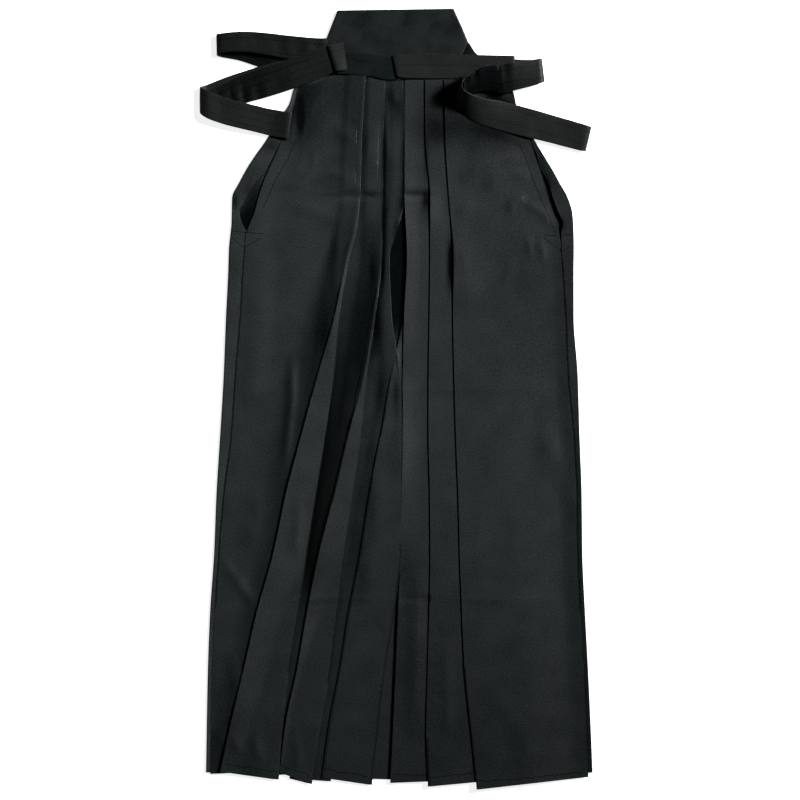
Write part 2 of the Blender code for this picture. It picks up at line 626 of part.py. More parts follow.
def build_band():
    edge = np.array(TOP_EDGE, float)
    rings = []
    for x, upper in BAND:
        lower = SEAM_Y - float(smooth(edge[:, 0], edge[:, 1], x)) + SEAM_GAP
        on_back, on_board = WALL + LAY_GAP, BOARD_THICK + LAY_GAP
        profile = ((lower, on_back), (BAND_STEP_Y, on_back), (BAND_STEP_Y + 1.2, on_board), (upper, on_board),
                   (upper, BAND_TOP - 0.7), (upper - 0.7, BAND_TOP), (lower + 0.7, BAND_TOP), (lower, BAND_TOP - 0.7))
        rings.append(np.array([(x, y, z) for y, z in profile]))
    stacked_rings("front_band", rings, cloth("front_band_cloth", STRAP_COLOUR, 0.75))


def build_straps():
    for name, rows in (("strap_front_left", FRONT_LEFT_STRAP), ("strap_back_left", BACK_LEFT_STRAP),
                       ("strap_front_right", FRONT_RIGHT_STRAP)):
        strap(name, *ribbon_frames(rows), cloth(name + "_cloth", STRAP_COLOUR, 0.75))
    outer_a, outer_b, through = ribbon_frames(BACK_RIGHT_STRAP)
    inward = through * (STRAP_WALL + LAY_GAP)
    back = slice(len(outer_a) - 2, INNER_FIRST_ROW - 1, -1)
    first = np.vstack([outer_a, (outer_a + inward)[back]])
    second = np.vstack([outer_b, (outer_b + inward)[back]])
    along = np.gradient((first + second) / 2, axis=0)
    through = np.cross(along, second - first)
    through /= np.linalg.norm(through, axis=1)[:, None]
    strap("strap_back_right", first, second, through, cloth("strap_back_right_cloth", STRAP_COLOUR, 0.75))


def main():
    for thing in list(bpy.data.objects):
        bpy.data.objects.remove(thing)
    build_backs()
    build_gussets()
    build_fronts()
    build_board()
    build_band()
    build_straps()


main()
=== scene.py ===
# %% [markdown]
# # A pair of pleated hakama, laid out flat
# The garment is cut from a dark twill: two pleated fronts, two plain backs, a gusset in each leg, a stiff
# board at the back of the waist, a band along the front of it, and four long ties. The packed model gives
# the frame: every piece made here stands in its place and takes its sizes.

import math

import bmesh
import bpy
import numpy as np
from mathutils.bvhtree import BVHTree
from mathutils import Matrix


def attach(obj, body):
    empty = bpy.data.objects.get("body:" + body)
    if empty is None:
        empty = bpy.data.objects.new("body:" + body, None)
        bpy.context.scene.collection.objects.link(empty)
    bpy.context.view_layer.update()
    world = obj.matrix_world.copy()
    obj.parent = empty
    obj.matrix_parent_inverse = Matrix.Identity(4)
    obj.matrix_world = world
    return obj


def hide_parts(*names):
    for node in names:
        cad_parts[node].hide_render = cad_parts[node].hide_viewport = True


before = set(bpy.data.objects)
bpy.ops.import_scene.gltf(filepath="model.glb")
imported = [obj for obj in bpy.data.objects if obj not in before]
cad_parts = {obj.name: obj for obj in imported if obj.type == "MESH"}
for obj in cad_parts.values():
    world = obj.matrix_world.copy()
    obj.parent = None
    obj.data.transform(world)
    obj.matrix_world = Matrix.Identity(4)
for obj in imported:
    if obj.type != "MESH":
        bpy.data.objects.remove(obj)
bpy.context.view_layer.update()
MM = 0.001

# %% [markdown]
# ## Where it lies and how it is lit
# The cloth lies on a pale floor and is seen from straight above. A dark twill shows its folds only by its
# sheen, so one soft box stands to the upper right, low enough that a slope facing it shines and one facing
# away goes dark. More lamps would flatten the folds, so only a faint surround fills the shadows. A long
# lens keeps the garment's outline true from edge to edge.

# %% Floor, camera and lights
VIEW_WIDTH = 1.0795  # metres of floor across the view
VIEW_CENTRE = (0.0052, -0.0022)
LENS = 300.0
SENSOR = 36.0
TOP_OF_CLOTH = 0.004
CAMERA_HEIGHT = VIEW_WIDTH * LENS / SENSOR + TOP_OF_CLOTH
FLOOR_HALF = 6.0  # metres from its middle to its edge
FLOOR_LOOK = {"Base Color": (0.9, 0.9, 0.9, 1), "Roughness": 0.9,
              "Emission Color": (1, 1, 1, 1), "Emission Strength": 0.85}
SURROUND_LOOK = {"Color": (0.93, 0.96, 1, 1), "Strength": 0.010}


def set_inputs(node, look):
    for socket, value in look.items():
        node.inputs[socket].default_value = value


def lay_floor():
    mesh = bpy.data.meshes.new("floor")
    signs = ((-1, -1), (1, -1), (1, 1), (-1, 1))
    mesh.from_pydata([(x * FLOOR_HALF, y * FLOOR_HALF, -MM) for x, y in signs], [], [(0, 1, 2, 3)])
    floor = bpy.data.objects.new("floor", mesh)
    bpy.context.scene.collection.objects.link(floor)
    paint = bpy.data.materials.new("pale_floor")
    paint.use_nodes = True
    set_inputs(paint.node_tree.nodes["Principled BSDF"], FLOOR_LOOK)
    mesh.materials.append(paint)


def soft_box(name, place, aim, size, power, spread):
    """A rectangular lamp that stands at a place and faces the point that it is aimed at."""
    lamp = bpy.data.lights.new(name, "AREA")
    lamp.shape = "RECTANGLE"
    lamp.size, lamp.size_y = size
    lamp.energy = power
    lamp.spread = spread
    thing = bpy.data.objects.new(name, lamp)
    bpy.context.scene.collection.objects.link(thing)
    thing.location = place
    away = np.array(place, float) - np.array(aim, float)
    turn = math.atan2(away[0], -away[1])
    tip = math.atan2(math.hypot(away[0], away[1]), away[2])
    thing.rotation_euler = (tip, 0, turn)


lay_floor()
view = bpy.data.cameras.new("view")
view.lens, view.sensor_width = LENS, SENSOR
camera = bpy.data.objects.new("view", view)
bpy.context.scene.collection.objects.link(camera)
camera.location = (*VIEW_CENTRE, CAMERA_HEIGHT)
bpy.context.scene.camera = camera
bpy.context.scene.view_settings.view_transform = "Standard"

soft_box("key", place=(5.6, 3.0, 4.0), aim=(-0.40, 0.32, 0), size=(1.8, 1.8), power=40, spread=0.30)
surround = bpy.data.worlds.new("surround")
surround.use_nodes = True
set_inputs(surround.node_tree.nodes["Background"], SURROUND_LOOK)
bpy.context.scene.world = surround
print("camera", round(CAMERA_HEIGHT, 3), "m up, looking straight down")

# %% [markdown]
# ## Writing shader sums as plain expressions
# A finish is a small sum: threads, broad blotches, seams. It could be wired by hand in the node editor, but
# wrapping a socket in a class with the usual operators lets the sum be read as one line, and each operator
# adds the Math node that it stands for.


# %% A socket that can be added and multiplied
class Val:
    """A socket with the usual operators; each one adds its Math node."""

    def __init__(self, tree, socket):
        self.tree, self.socket = tree, socket

    def maths(self, operation, first, second):
        return self.tree.node("ShaderNodeMath", {"operation": operation}, {0: first, 1: second})

    def __add__(self, other):
        return self.maths("ADD", self, other)

    def __sub__(self, other):
        return self.maths("SUBTRACT", self, other)

    def __rsub__(self, other):
        return self.maths("SUBTRACT", other, self)

    def __mul__(self, other):
        return self.maths("MULTIPLY", self, other)

    def sine(self):
        return self.maths("SINE", self, 0)

    def size(self):
        return self.maths("ABSOLUTE", self, 0)

    __radd__, __rmul__ = __add__, __mul__


class Finish:
    """A material. One method adds any node, from its kind, its settings and the inputs of its sockets."""

    def __init__(self, name):
        self.material = bpy.data.materials.new(name)
        self.material.use_nodes = True
        self.nodes, self.links = self.material.node_tree.nodes, self.material.node_tree.links
        self.shader = self.nodes["Principled BSDF"]

    def node(self, kind, settings=None, inputs=None, output=0):
        made = self.nodes.new(kind)
        for key, value in (settings or {}).items():
            setattr(made, key, value)
        self.feed(made, inputs or {})
        return Val(self, made.outputs[output])

    def feed(self, node, inputs):
        for key, value in inputs.items():
            if isinstance(value, Val):
                self.links.new(value.socket, node.inputs[key])
            else:
                node.inputs[key].default_value = value

    def noise(self, at, scale, detail):
        return self.node("ShaderNodeTexNoise", {}, {"Vector": at, "Scale": scale, "Detail": detail})

    def ramp(self, value, low, high, low_to=0.0, high_to=1.0):
        limits = {"Value": value, "From Min": low, "From Max": high, "To Min": low_to, "To Max": high_to}
        return self.node("ShaderNodeMapRange", {"interpolation_type": "SMOOTHSTEP"}, limits)


print("sums may also start with a number:", [name for name in vars(Val) if name.startswith("__r")])

# %% [markdown]
# ## The twill
# The cloth is a fine polyester twill. Its ribs run on the diagonal, less than a millimetre apart, so at arm's
# length they only grain the surface. Each vertex carries its own place in the cloth before it was folded, in
# millimetres: how far across from the side edge, and how far down. The threads follow the cloth through
# every fold, which coordinates in space would not do. Lines of sewing press a narrow groove into it, and
# they too are found from the place in the cloth. The shade in a groove is painted into the finish, and so is
# the painted shade that each vertex carries as a third number.

# %% Cloth finish
TWILL_PITCH = 0.8
SLUB_SCALE = 0.5  # thick places in the yarn, about two millimetres long
CLOUD_SCALE = 0.028  # broad uneven places, some centimetres wide
NOISE_DETAIL = 3.0
GROOVE_WIDTH = 1.3
# painted shade: near-black unlit cloth that the finish mixes in where shade is painted
UNLIT = (0.0012, 0.0018, 0.0018, 1)
DULLNESS = 0.14  # share of the unlit cloth that shows everywhere
SHADE_SHARE = 0.85  # and how much more of it where no light reaches
SHADE_CALM = 0.8  # and how much less of the yarn's unevenness
SLUB_TINT, CLOUD_TINT = 0.3, 0.2
SLUB_ROUGH, CLOUD_ROUGH = 0.10, 0.12
RIB_HEIGHT, SLUB_HEIGHT, GROOVE_DEPTH = 0.02, 0.10, 0.08  # in millimetres


def twill(name, colour, grain=0.75, mottle=0.10, roughness=0.46, gloss=0.5, seams=(), sewn=0.75):
    """Twill with a sewn groove along each seam: (axis 0 across or 1 down, place, from, to)."""
    cloth = Finish(name)
    place = cloth.node("ShaderNodeAttribute", {"attribute_name": "cloth"}, output=1)
    parts = cloth.nodes.new("ShaderNodeSeparateXYZ")
    cloth.feed(parts, {0: place})
    # place in the cloth across and down, and the painted shade that each vertex carries
    across, down, painted_shade = (Val(cloth, parts.outputs[k]) for k in range(3))
    ribs = ((across + down) * (2 * math.pi / TWILL_PITCH)).sine()
    slub = cloth.noise(place, SLUB_SCALE, NOISE_DETAIL)
    cloud = cloth.noise(place, CLOUD_SCALE, NOISE_DETAIL)
    # A seam's groove is pressed in as a bump, and sewn sets how dark the painted shade in it is.
    groove = 0.0
    for axis, at, start, end in seams:
        along, off = (down, across) if axis == 0 else (across, down)
        inside = cloth.ramp(along, start, start + 1) * cloth.ramp(along, end - 1, end, 1.0, 0.0)
        groove = cloth.ramp((off - at).size(), 0.0, GROOVE_WIDTH, 1.0, 0.0) * inside + groove
    shade = (slub - 0.5) * SLUB_TINT + (cloud - 0.5) * CLOUD_TINT + 1.0
    tint = cloth.node("ShaderNodeVectorMath", {"operation": "SCALE"}, {0: colour, "Scale": shade})
    rough = (cloud - 0.5) * CLOUD_ROUGH + (slub - 0.5) * SLUB_ROUGH + roughness
    relief = ribs * RIB_HEIGHT + slub * SLUB_HEIGHT - groove * GROOVE_DEPTH
    bump = cloth.node("ShaderNodeBump", {}, {"Strength": 0.6, "Distance": MM, "Height": relief})
    cloth.feed(cloth.shader, {"Base Color": tint, "Roughness": rough, "Normal": bump})
    set_inputs(cloth.shader, {"Specular IOR Level": gloss, "Sheen Weight": 0.02, "Sheen Roughness": 0.4})
    unlit = cloth.node("ShaderNodeBsdfDiffuse", {}, {"Color": UNLIT})
    lit = Val(cloth, cloth.shader.outputs[0])
    # share of unlit cloth: painted shade of the vertex and the grooves, uneven yarn tone, even dullness
    uneven = (0.5 - slub) * (2 * grain) + (0.5 - cloud) * (2 * mottle)
    dark = painted_shade * SHADE_SHARE + groove * sewn + uneven * (1.0 - painted_shade * SHADE_CALM) + DULLNESS
    mixed = cloth.node("ShaderNodeMixShader", {}, {0: dark, 1: lit, 2: unlit})
    cloth.feed(cloth.nodes["Material Output"], {"Surface": mixed})
    return cloth.material


print("ribs of the twill are", TWILL_PITCH, "mm apart")

# %% [markdown]
# ## One finish for each way the cloth is sewn
# The body, the board and the ties are the same twill, but the board's is stretched and the ties' is ironed
# and handled, so they shine less. Seams could be cut into the mesh, but a groove this fine needs far more
# faces, so each finish knows how far from the edge its lines of sewing run, and paints shade into the groove.

# %% Finishes
BODY_TINT = (0.0029, 0.0060, 0.0065)
BOARD_TINT = (0.0033, 0.0051, 0.0052)
STRAP_TINT = (0.0036, 0.0050, 0.0044)
FULL_LENGTH = (-5, 999)
SIDE_SEAMS = ((0, 0.9, 226, 720),)
# sewn: how dark the painted shade in a seam groove is
TIE_LOOKS = {"roughness": 0.52, "gloss": 0.17, "mottle": 0.22, "sewn": 0.26}


def tie_finish(name, *lines):
    """The twill of a tie with lines of sewing at these distances from its edge."""
    return twill(name, STRAP_TINT, seams=tuple((0, at, *FULL_LENGTH) for at in lines), **TIE_LOOKS)


body_finish = twill("body_twill", BODY_TINT)
front_finish = twill("front_twill", BODY_TINT, seams=SIDE_SEAMS)
three_line_finish = tie_finish("three_line_twill", 9, 19, 28)
edge_line_finish = tie_finish("edge_line_twill", 8.5, 26)
middle_line_finish = tie_finish("middle_line_twill", 15)
band_finish = twill("band_twill", BOARD_TINT, roughness=0.5, gloss=0.06, mottle=0.8,
                    seams=((1, 12, *FULL_LENGTH),), sewn=0.3)
board_finish = twill("board_twill", BOARD_TINT, mottle=1.0, roughness=0.5, gloss=0.15)
print("finishes:", [m.name for m in bpy.data.materials])

# %% [markdown]
# ## Reading a table as smooth curves
# The cut is kept as short tables: one row for each height, one column for each edge or fold. A curve through
# a column must not swing past its own values, or one fold would cut through the next, so the curve
# is the monotone kind that flattens at each turning point.


# %% Curves through the tables
def bent(value, rise, start, end, t):
    """The cubic that climbs from value by rise, leaving and arriving with these slopes."""
    return value + t * start + t * t * (3 * rise - 2 * start - end) + t**3 * (start + end - 2 * rise)


def smooth(knots, values, at):
    """The value at a place on the smooth curve through the knots, never past its neighbours."""
    knots, values = np.asarray(knots, float), np.asarray(values, float)
    step = np.diff(knots)
    slope = np.diff(values) / step
    bend = np.zeros(len(knots))
    bend[0], bend[-1] = slope[0], slope[-1]
    same = slope[:-1] * slope[1:] > 0
    bend[1:-1] = np.where(same, 2 * slope[:-1] * slope[1:] / np.where(same, slope[:-1] + slope[1:], 1), 0)
    at = np.clip(at, knots[0], knots[-1])
    i = np.clip(np.searchsorted(knots, at) - 1, 0, len(step) - 1)
    t = (at - knots[i]) / step[i]
    return bent(values[i], values[i + 1] - values[i], bend[i] * step[i], bend[i + 1] * step[i], t)


def columns(table, down):
    """Every column of a table, read at one distance down."""
    rows = np.array(table, float)
    return [float(smooth(rows[:, 0], rows[:, k], down)) for k in range(1, rows.shape[1])]


def ease(start, end, value):
    """0 up to start, 1 from end on, and a gentle slope between them."""
    t = np.clip((value - start) / (end - start), 0, 1)
    return t * t * (3 - 2 * t)


print("eased, a quarter of the way:", ease(0, 1, 0.25))


# %% [markdown]
# ## The cut, in millimetres
# Down is the distance below the waist seam. The sides open as slits at the hips, so the front's edge there
# lies well inside the back's fold, and below the slit the two are sewn together. The left front's pleats
# fan out towards the hem, and three more folds open over them. The right front's pleats lie
# close and nearly upright.

# %% Tables of the cut
SEAM_Y = 431.0  # where the waist seam lies in the frame
WALL = 0.7  # thickness of the packed cloth
SEAM_GAP = 0.3
LAY_GAP = 0.25  # between two packed layers
TOP_REACH = 130.0  # the waist's curve fades out this far down
HEM_STARTS = 700.0  # and the hem's unevenness fades in from here
CROTCH = 492.0  # where the legs part
FRONT_LENGTH = 952.0
PLEAT_DEPTH = (20.0, 30.0)  # at the waist, at the hem
NEST = 5.0  # an open strip's fold stays this far short of the pleat's edge
SIDES = (
    # down  back_l  turn_l  front_l  front_r turn_r  back_r
    (-27, -86, -81.6, -81, 81, 81.6, 86),
    (0, -137, -132.6, -132, 152, 152.6, 157),
    (22, -143.5, -137.6, -137, 157.6, 158.2, 162),
    (48, -159.5, -145, -144.4, 168, 168.6, 172.4),
    (82, -176.9, -156.8, -156, 182.3, 183.6, 188.6),
    (100, -188.4, -164.5, -162.2, 187, 189.6, 197.8),
    (120, -200.5, -174.8, -171.1, 193.4, 194.6, 208.9),
    (140, -211.3, -190.1, -179.4, 199.8, 205.7, 219.8),
    (160, -220.7, -202.8, -185.8, 205.5, 211.6, 230.8),
    (180, -221.2, -211.3, -191.2, 211.8, 219, 237),
    (196, -221.6, -207.4, -197.6, 217, 225.6, 238.4),
    (206, -222.6, -202.3, -201.6, 219.9, 222.9, 238.8),
    (228, -224.9, -205.5, -204.9, 223, 223.6, 239.2),
    (262, -226, -208.2, -207.6, 225.8, 226.4, 238.8),
    (320, -228.9, -211.5, -210.9, 229.5, 230.1, 238.9),
    (400, -232.1, -218.1, -217.5, 233, 233.6, 244.4),
    (480, -236.8, -223.7, -223.1, 240.5, 241.1, 246.8),
    (560, -241.8, -233.7, -233.1, 244.7, 245.3, 249.7),
    (640, -245, -240.4, -239.8, 245.7, 246.3, 250.6),
    (720, -250.4, -245.8, -245.2, 249.3, 249.9, 254.2),
    (800, -253.3, -248.9, -248.3, 253.3, 253.9, 258.2),
    (950, -255.9, -251.5, -250.9, 259.4, 260, 264.3),
)
LEFT_FOLDS = (
    # down  strip_1  edge_a  strip_2  edge_b  edge_c  strip_3  edge_3  under_3
    (0, -44.6, -41.3, -18.6, -15.8, 13.6, 14.2, 17.4, 20.2),
    (80, -49.6, -46.3, -19.9, -17.1, 13.6, 14.2, 17.4, 20.2),
    (160, -52.4, -49, -21.2, -18.5, 12.2, 14.2, 17.4, 20),
    (200, -57, -53.2, -21.6, -18.8, 2.8, 14, 17.4, 19.8),
    (240, -66.6, -62.4, -22, -19.2, -9, 13.8, 17.4, 19.6),
    (320, -83, -76.8, -31.2, -28.1, -6, 8.6, 21, 13),
    (400, -106.1, -84.2, -43.8, -39.6, 4.6, -6.7, 21.5, 8),
    (480, -127.7, -95.4, -64.6, -47.4, -9, -21, 18.5, 4),
    (560, -148.9, -108, -83.6, -57.9, -24.4, -36.4, 13.5, -1.5),
    (640, -165.9, -120, -104, -69.1, -36.8, -48.8, 7, -9),
    (720, -188.1, -131.4, -120.5, -78.8, -52.4, -64.4, -2.4, -20),
    (800, -205.3, -143.9, -133.6, -88.8, -64.7, -76.7, -15.2, -34),
    (880, -222.5, -153.2, -149, -102.7, -79, -91, -24.7, -45),
    (950, -237, -158.5, -157.2, -113.9, -88.3, -100.3, -32.7, -54),
)
RIGHT_FOLDS = (
    # down  edge_r1  edge_r2  edge_r3
    (0, 11.4, 39, 64.7),
    (80, 11.4, 39.4, 66.4),
    (160, 11.6, 46.2, 71.3),
    (240, 14.6, 45.9, 77.6),
    (320, 10.8, 45, 76.8),
    (400, 9, 43.8, 78.4),
    (480, 8.7, 43.5, 80.5),
    (560, 7.1, 45.5, 83.8),
    (640, 5.5, 46.1, 85.8),
    (720, 2.4, 44.5, 88.7),
    (800, -0.8, 42.5, 92.5),
    (880, -4.4, 40.4, 101.2),
    (950, -7.9, 42.9, 108.7),
)
MIDDLE = (
    # down  front_l  front_r  back_l  back_r
    (-27, 23.8, 24.2, 1.8, 2.2),
    (0, 23.8, 24.2, 2.3, 2.7),
    (482, 19.8, 20.2, 19.2, 19.6),
    (502, 16, 23.6, 14.5, 24.9),
    (720, 12, 19.6, 2, 38),
    (950, 8, 15.6, -15, 53),
)
# x, and how far down the fronts begin there
TOP_EDGE = ((-137, 12), (-108, 5), (-80, -6.5), (-34, -3), (-15, 1.5), (90, 0.7), (157, 16))
# where each strip begins to come out of its tuck, and where it is out
TUCKS = ((205, 252), (262, 430), (200, 310))
# how much further down the hem lies at each turn, from the side inwards
LEFT_HEM = (-14, -18, -17, -6, -12, -14, -16, 0, -8, -4, -8, -8, -9, 1, -8, -6)
RIGHT_HEM = (-10, 7, -6, 3, -5, -2, -8, -6)
BACK_HEM = (-9, -16)
GUSSET_HEM = -8
print("cut:", len(SIDES), "rows of sides,", len(LEFT_FOLDS), "and", len(RIGHT_FOLDS), "rows of folds")


def middle_seams(down):
    rows = np.array(MIDDLE, float)
    return [float(np.interp(down, rows[:, 0], rows[:, k])) for k in range(1, rows.shape[1])]


def pleat_depth(down):
    return PLEAT_DEPTH[0] + (PLEAT_DEPTH[1] - PLEAT_DEPTH[0]) * down / FRONT_LENGTH


# %% [markdown]
# ## Creases and swells
# Cloth that has been folded away and shaken out keeps broad swells, and a few straight creases where it was
# folded. They could come from a simulation, but then they would fall where they liked. Here each is a row:
# the run of cloth it lies in, its height (below zero for a trough), its half width and the line it follows.

# %% Table of creases
CREASES = (
    # run, height, half width, the line it follows as (across, down)
    ("L0", 1.2, 8, ((-125, 81), (-106, 69), (-83, 68), (-62, 79), (-52, 90))),
    ("L0", 1.45, 7, ((-168, 149), (-131, 141), (-117, 133), (-90, 127), (-60, 133), (-50, 142))),
    ("all", -1.15, 6, ((-111, 157), (-69, 157), (-16, 159))),
    ("all", 0.5, 6, ((-106, 145), (-69, 144), (-22, 145))),
    ("L0", 0.7, 7, ((-152, 171), (-123, 177), (-84, 188), (-60, 192))),
    ("L0", 0.45, 4, ((-111, 92), (-111, 122))),
    ("L0", -1.6, 5, ((-129, 8), (-126, 41), (-127, 81))),
    ("L0", 0.5, 4, ((-140, 16), (-141, 81))),
    ("L0", 0.6, 14, ((-96, 27), (-100, 119))),
    ("L0", 1.1, 6, ((-79, 203), (-81, 246), (-84, 298))),
    ("L0", 1.9, 6, ((-140, 366), (-141, 433), (-148, 501), (-153, 533))),
    ("L0", 1, 18, ((-182, 203), (-190, 338), (-198, 460))),
    ("L0", 0.9, 7, ((-240, 644), (-214, 677), (-187, 717))),
    ("L0", 0.8, 9, ((-228, 758), (-211, 839), (-217, 920))),
    ("L0", 0.7, 8, ((-246, 893), (-222, 915))),
    ("L0", 0.7, 16, ((-182, 541), (-195, 650))),
    ("R3", 1.2, 9.2, ((176, 104), (136, 108), (108, 122), (86, 145))),
    ("R3", 0.95, 8, ((185, 129), (159, 127), (136, 134), (115, 149))),
    ("R3", 0.8, 5.8, ((177, 159), (157, 168), (151, 182))),
    ("R3", 0.7, 5.8, ((173, 167), (199, 182), (210, 200))),
    ("R3", 0.3, 8, ((100, 157), (89, 190), (84, 217))),
    ("R3", 0.25, 6.9, ((89, 228), (95, 264))),
    ("R3", 0.72, 10.3, ((89, 90), (135, 90), (173, 91))),
    ("R3", 0.5, 4.6, ((177, 211), (182, 238))),
    ("R3", 0.55, 4.6, ((193, 217), (201, 246))),
    ("R3", 0.44, 5.8, ((162, 246), (141, 276))),
    ("R3", 0.72, 16.1, ((100, 228), (97, 306))),
    ("R3", 0.55, 13.8, ((127, 826), (181, 900))),
    ("R3", 0.55, 29.9, ((141, 325), (135, 528))),
    ("all", -0.8, 4.5, ((3, 157), (49, 157))),
    ("all", 0.5, 5, ((5, 145), (46, 145))),
    ("all", -0.7, 4, ((0, 702), (49, 701))),
    ("all", 0.45, 5, ((-182, 707), (-90, 701), (0, 700))),
    ("all", 0.3, 5, ((49, 700), (141, 704), (222, 701))),
    ("all", 0.3, 6, ((-230, 425), (-90, 422), (100, 418), (222, 421))),
    ("P1", 0.6, 7, ((-130, 568), (-136, 650))),
    ("P1", 0.7, 6, ((-222, 896), (-211, 926))),
    ("P1", 0.8, 6, ((-192, 899), (-182, 931))),
    ("P2", 0.6, 6, ((-136, 893), (-130, 942))),
    ("R1", 0.8, 10, ((28, 650), (27, 758), (24, 893))),
    ("R2", 0.5, 8, ((67, 758), (70, 893))),
    ("R3", 0.6, 13, ((201, 467), (212, 501), (240, 580))),
    ("all", 0.7, 12, ((7, 405), (6, 568))),
    ("L2", 0.9, 4, ((-7, 14), (4, 42))),
    ("L2", 0.6, 4, ((-15, 40), (-12, 96), (-4, 110))),
    ("R3", 2.6, 15, ((70, 20), (96, 44), (140, 58), (180, 66))),
    ("back", 0.2, 12, ((-160, 180), (-150, 330), (-168, 520))),
    ("back", 0.2, 16, ((-60, 240), (-90, 420), (-80, 640))),
    ("back", 0.22, 10, ((-200, 560), (-160, 640), (-150, 780))),
    ("back", 0.22, 9, ((-220, 700), (-120, 704), (0, 701))),
    ("back", 0.2, 8, ((-190, 420), (-90, 418), (0, 421))),
    ("back", 0.2, 14, ((150, 200), (170, 380), (155, 600))),
    ("back", 0.22, 12, ((70, 300), (60, 470), (90, 700))),
    ("back", 0.22, 9, ((20, 702), (120, 700), (230, 705))),
    ("back", 0.2, 8, ((40, 421), (130, 419), (215, 422))),
    ("L1", 0.25, 9, ((-34, 60), (-30, 110), (-33, 140))),
)
print("creases and swells:", len(CREASES))

# %% Creases as lifts
FADE_IN = (-0.04, 0.3)  # shares of the line's length over which a crease comes up
FADE_OUT = (0.7, 1.04)  # and goes down again


def crease(x, down, height, half_width, line):
    """A soft ridge along a line: its lift at each place, fading out towards both ends of the line."""
    line = np.array(line, float)
    lengths = np.hypot(*np.diff(line, axis=0).T)
    total = lengths.sum()
    near = np.full(np.broadcast(x, down).shape, 1e6)
    along = np.zeros_like(near)
    for k, length in enumerate(lengths):
        step = line[k + 1] - line[k]
        t = np.clip(((x - line[k, 0]) * step[0] + (down - line[k, 1]) * step[1]) / length**2, 0, 1)
        away = np.hypot(x - line[k, 0] - t * step[0], down - line[k, 1] - t * step[1])
        along = np.where(away < near, (lengths[:k].sum() + t * length) / total, along)
        near = np.minimum(near, away)
    fade = ease(*FADE_IN, along) * (1 - ease(*FADE_OUT, along))
    return height * fade * np.exp(-((near / half_width) ** 2))


def relief(run, x, down):
    """How far the creases and swells of a run lift the cloth at places across one section."""
    rise = np.zeros(np.broadcast(x, down).shape)
    for name, height, half_width, line in CREASES:
        if name == run or (name == "all" and (run != "back" or height > 0)):
            rise = rise + crease(x, down, height, half_width, line)
    return rise


print("in the middle of a swell:", round(float(relief("back", -155.0, 330.0)), 2), "mm")

# %% [markdown]
# ## A pile of cloth
# Whatever is laid on a pleated garment comes down gently beside every step in what lies beneath. A physics
# run would settle the same layers, but it can't hold sharp pressed edges for a metre of length, so each
# section keeps the height of its pile every half millimetre, and a new run is stretched over it like a tent.

# %% A pile
# cloth, gap between layers, and how steeply cloth comes down beside a step
LEFT_LAYERS = (0.34, 0.08, 0.12)
RIGHT_LAYERS = (0.55, 0.2, 0.012)
RIGHT_SIDE = (
    # down, how high the right side stands, how much higher its seam
    (-27, 0, 0),
    (14, 0, 0),
    (60, 1.5, 0.2),
    (120, 2.6, 0.4),
    (200, 2.9, 0.8),
    (250, 3.5, 1.6),
    (560, 3, 2),
    (800, 1.7, 1.3),
    (950, 1, 0.6),
)
SIDE_SWELL = 30.0  # how far in from the side its own rise reaches
SIDE_REACH = 90.0  # and how far in the cloth comes down from the pile towards it
PILE_HALF = 280.0  # the pile is known this far to both sides
PILE_STEP = 0.5
FEW_POINTS = 12  # a run with fewer points than this is lifted clear of the tent point by point
# runs that lie flat on the highest point beneath them
FLAT_RUNS = ("P1", "P2", "P3", "R1", "R2")


class Pile:
    """What already lies at one distance down, between the two outer edges of the backs."""

    def __init__(self, down, low, high, layers):
        self.down, self.layers = down, layers
        self.x = np.arange(-PILE_HALF, PILE_HALF + PILE_STEP, PILE_STEP)
        self.top = np.where((self.x > low) & (self.x < high), WALL, 0.0)
        self.low, self.high = low, high

    def cover(self, low, high, height):
        """Raise the pile to a height between two places."""
        inside = (self.x > low) & (self.x < high)
        self.top[inside] = np.maximum(self.top[inside], height)

    def tent(self):
        """The height at which cloth would lie everywhere, coming down no steeper than it can."""
        wall, gap, fall = self.layers
        forward = np.maximum.accumulate(self.top + fall * self.x) - fall * self.x
        backward = (np.maximum.accumulate((self.top - fall * self.x)[::-1]))[::-1] + fall * self.x
        return np.maximum(forward, backward) + gap + wall / 2

    def heights(self, knots, name):
        """How high a run lies at its knots: over the tent, held down at the sides, or flat."""
        floor = self.tent()
        side = {"L0": self.low, "R3": self.high}.get(name)
        if side is not None:
            base = WALL + self.layers[1] + self.layers[0] / 2
            stay, swell = columns(RIGHT_SIDE, self.down) if name == "R3" else (0.0, 0.0)
            away = np.abs(self.x - side)
            floor = base + stay + (floor - base - stay) * ease(0, SIDE_REACH, away)
            floor = floor + swell * (1 - ease(0, SIDE_SWELL, away))
        order = np.argsort(knots)
        x = np.asarray(knots, float)[order]
        z = np.interp(x, self.x, floor)
        inside = (self.x >= x[0]) & (self.x <= x[-1])
        if name in FLAT_RUNS:
            z = np.full(len(x), floor[inside].max())
        elif len(x) < FEW_POINTS:
            segment = np.clip(np.searchsorted(x, self.x[inside]) - 1, 0, len(x) - 2)
            for _ in range(3):
                lack = np.zeros(len(x) - 1)
                np.maximum.at(lack, segment, floor[inside] - np.interp(self.x[inside], x, z))
                raised = np.zeros(len(x))
                raised[:-1] = lack
                raised[1:] = np.maximum(raised[1:], lack)
                z = z + raised
        result = np.empty_like(z)
        result[order] = z
        return result

    def lay(self, knots, z, margin):
        """Add a run to the pile."""
        order = np.argsort(knots)
        x = np.asarray(knots, float)[order]
        inside = (self.x > x[0] - margin) & (self.x < x[-1] + margin)
        line = np.interp(self.x[inside], x, np.asarray(z)[order]) + self.layers[0] / 2
        self.top[inside] = np.maximum(self.top[inside], line)


print("layers lie", LEFT_LAYERS[1], "and", RIGHT_LAYERS[1], "mm apart")

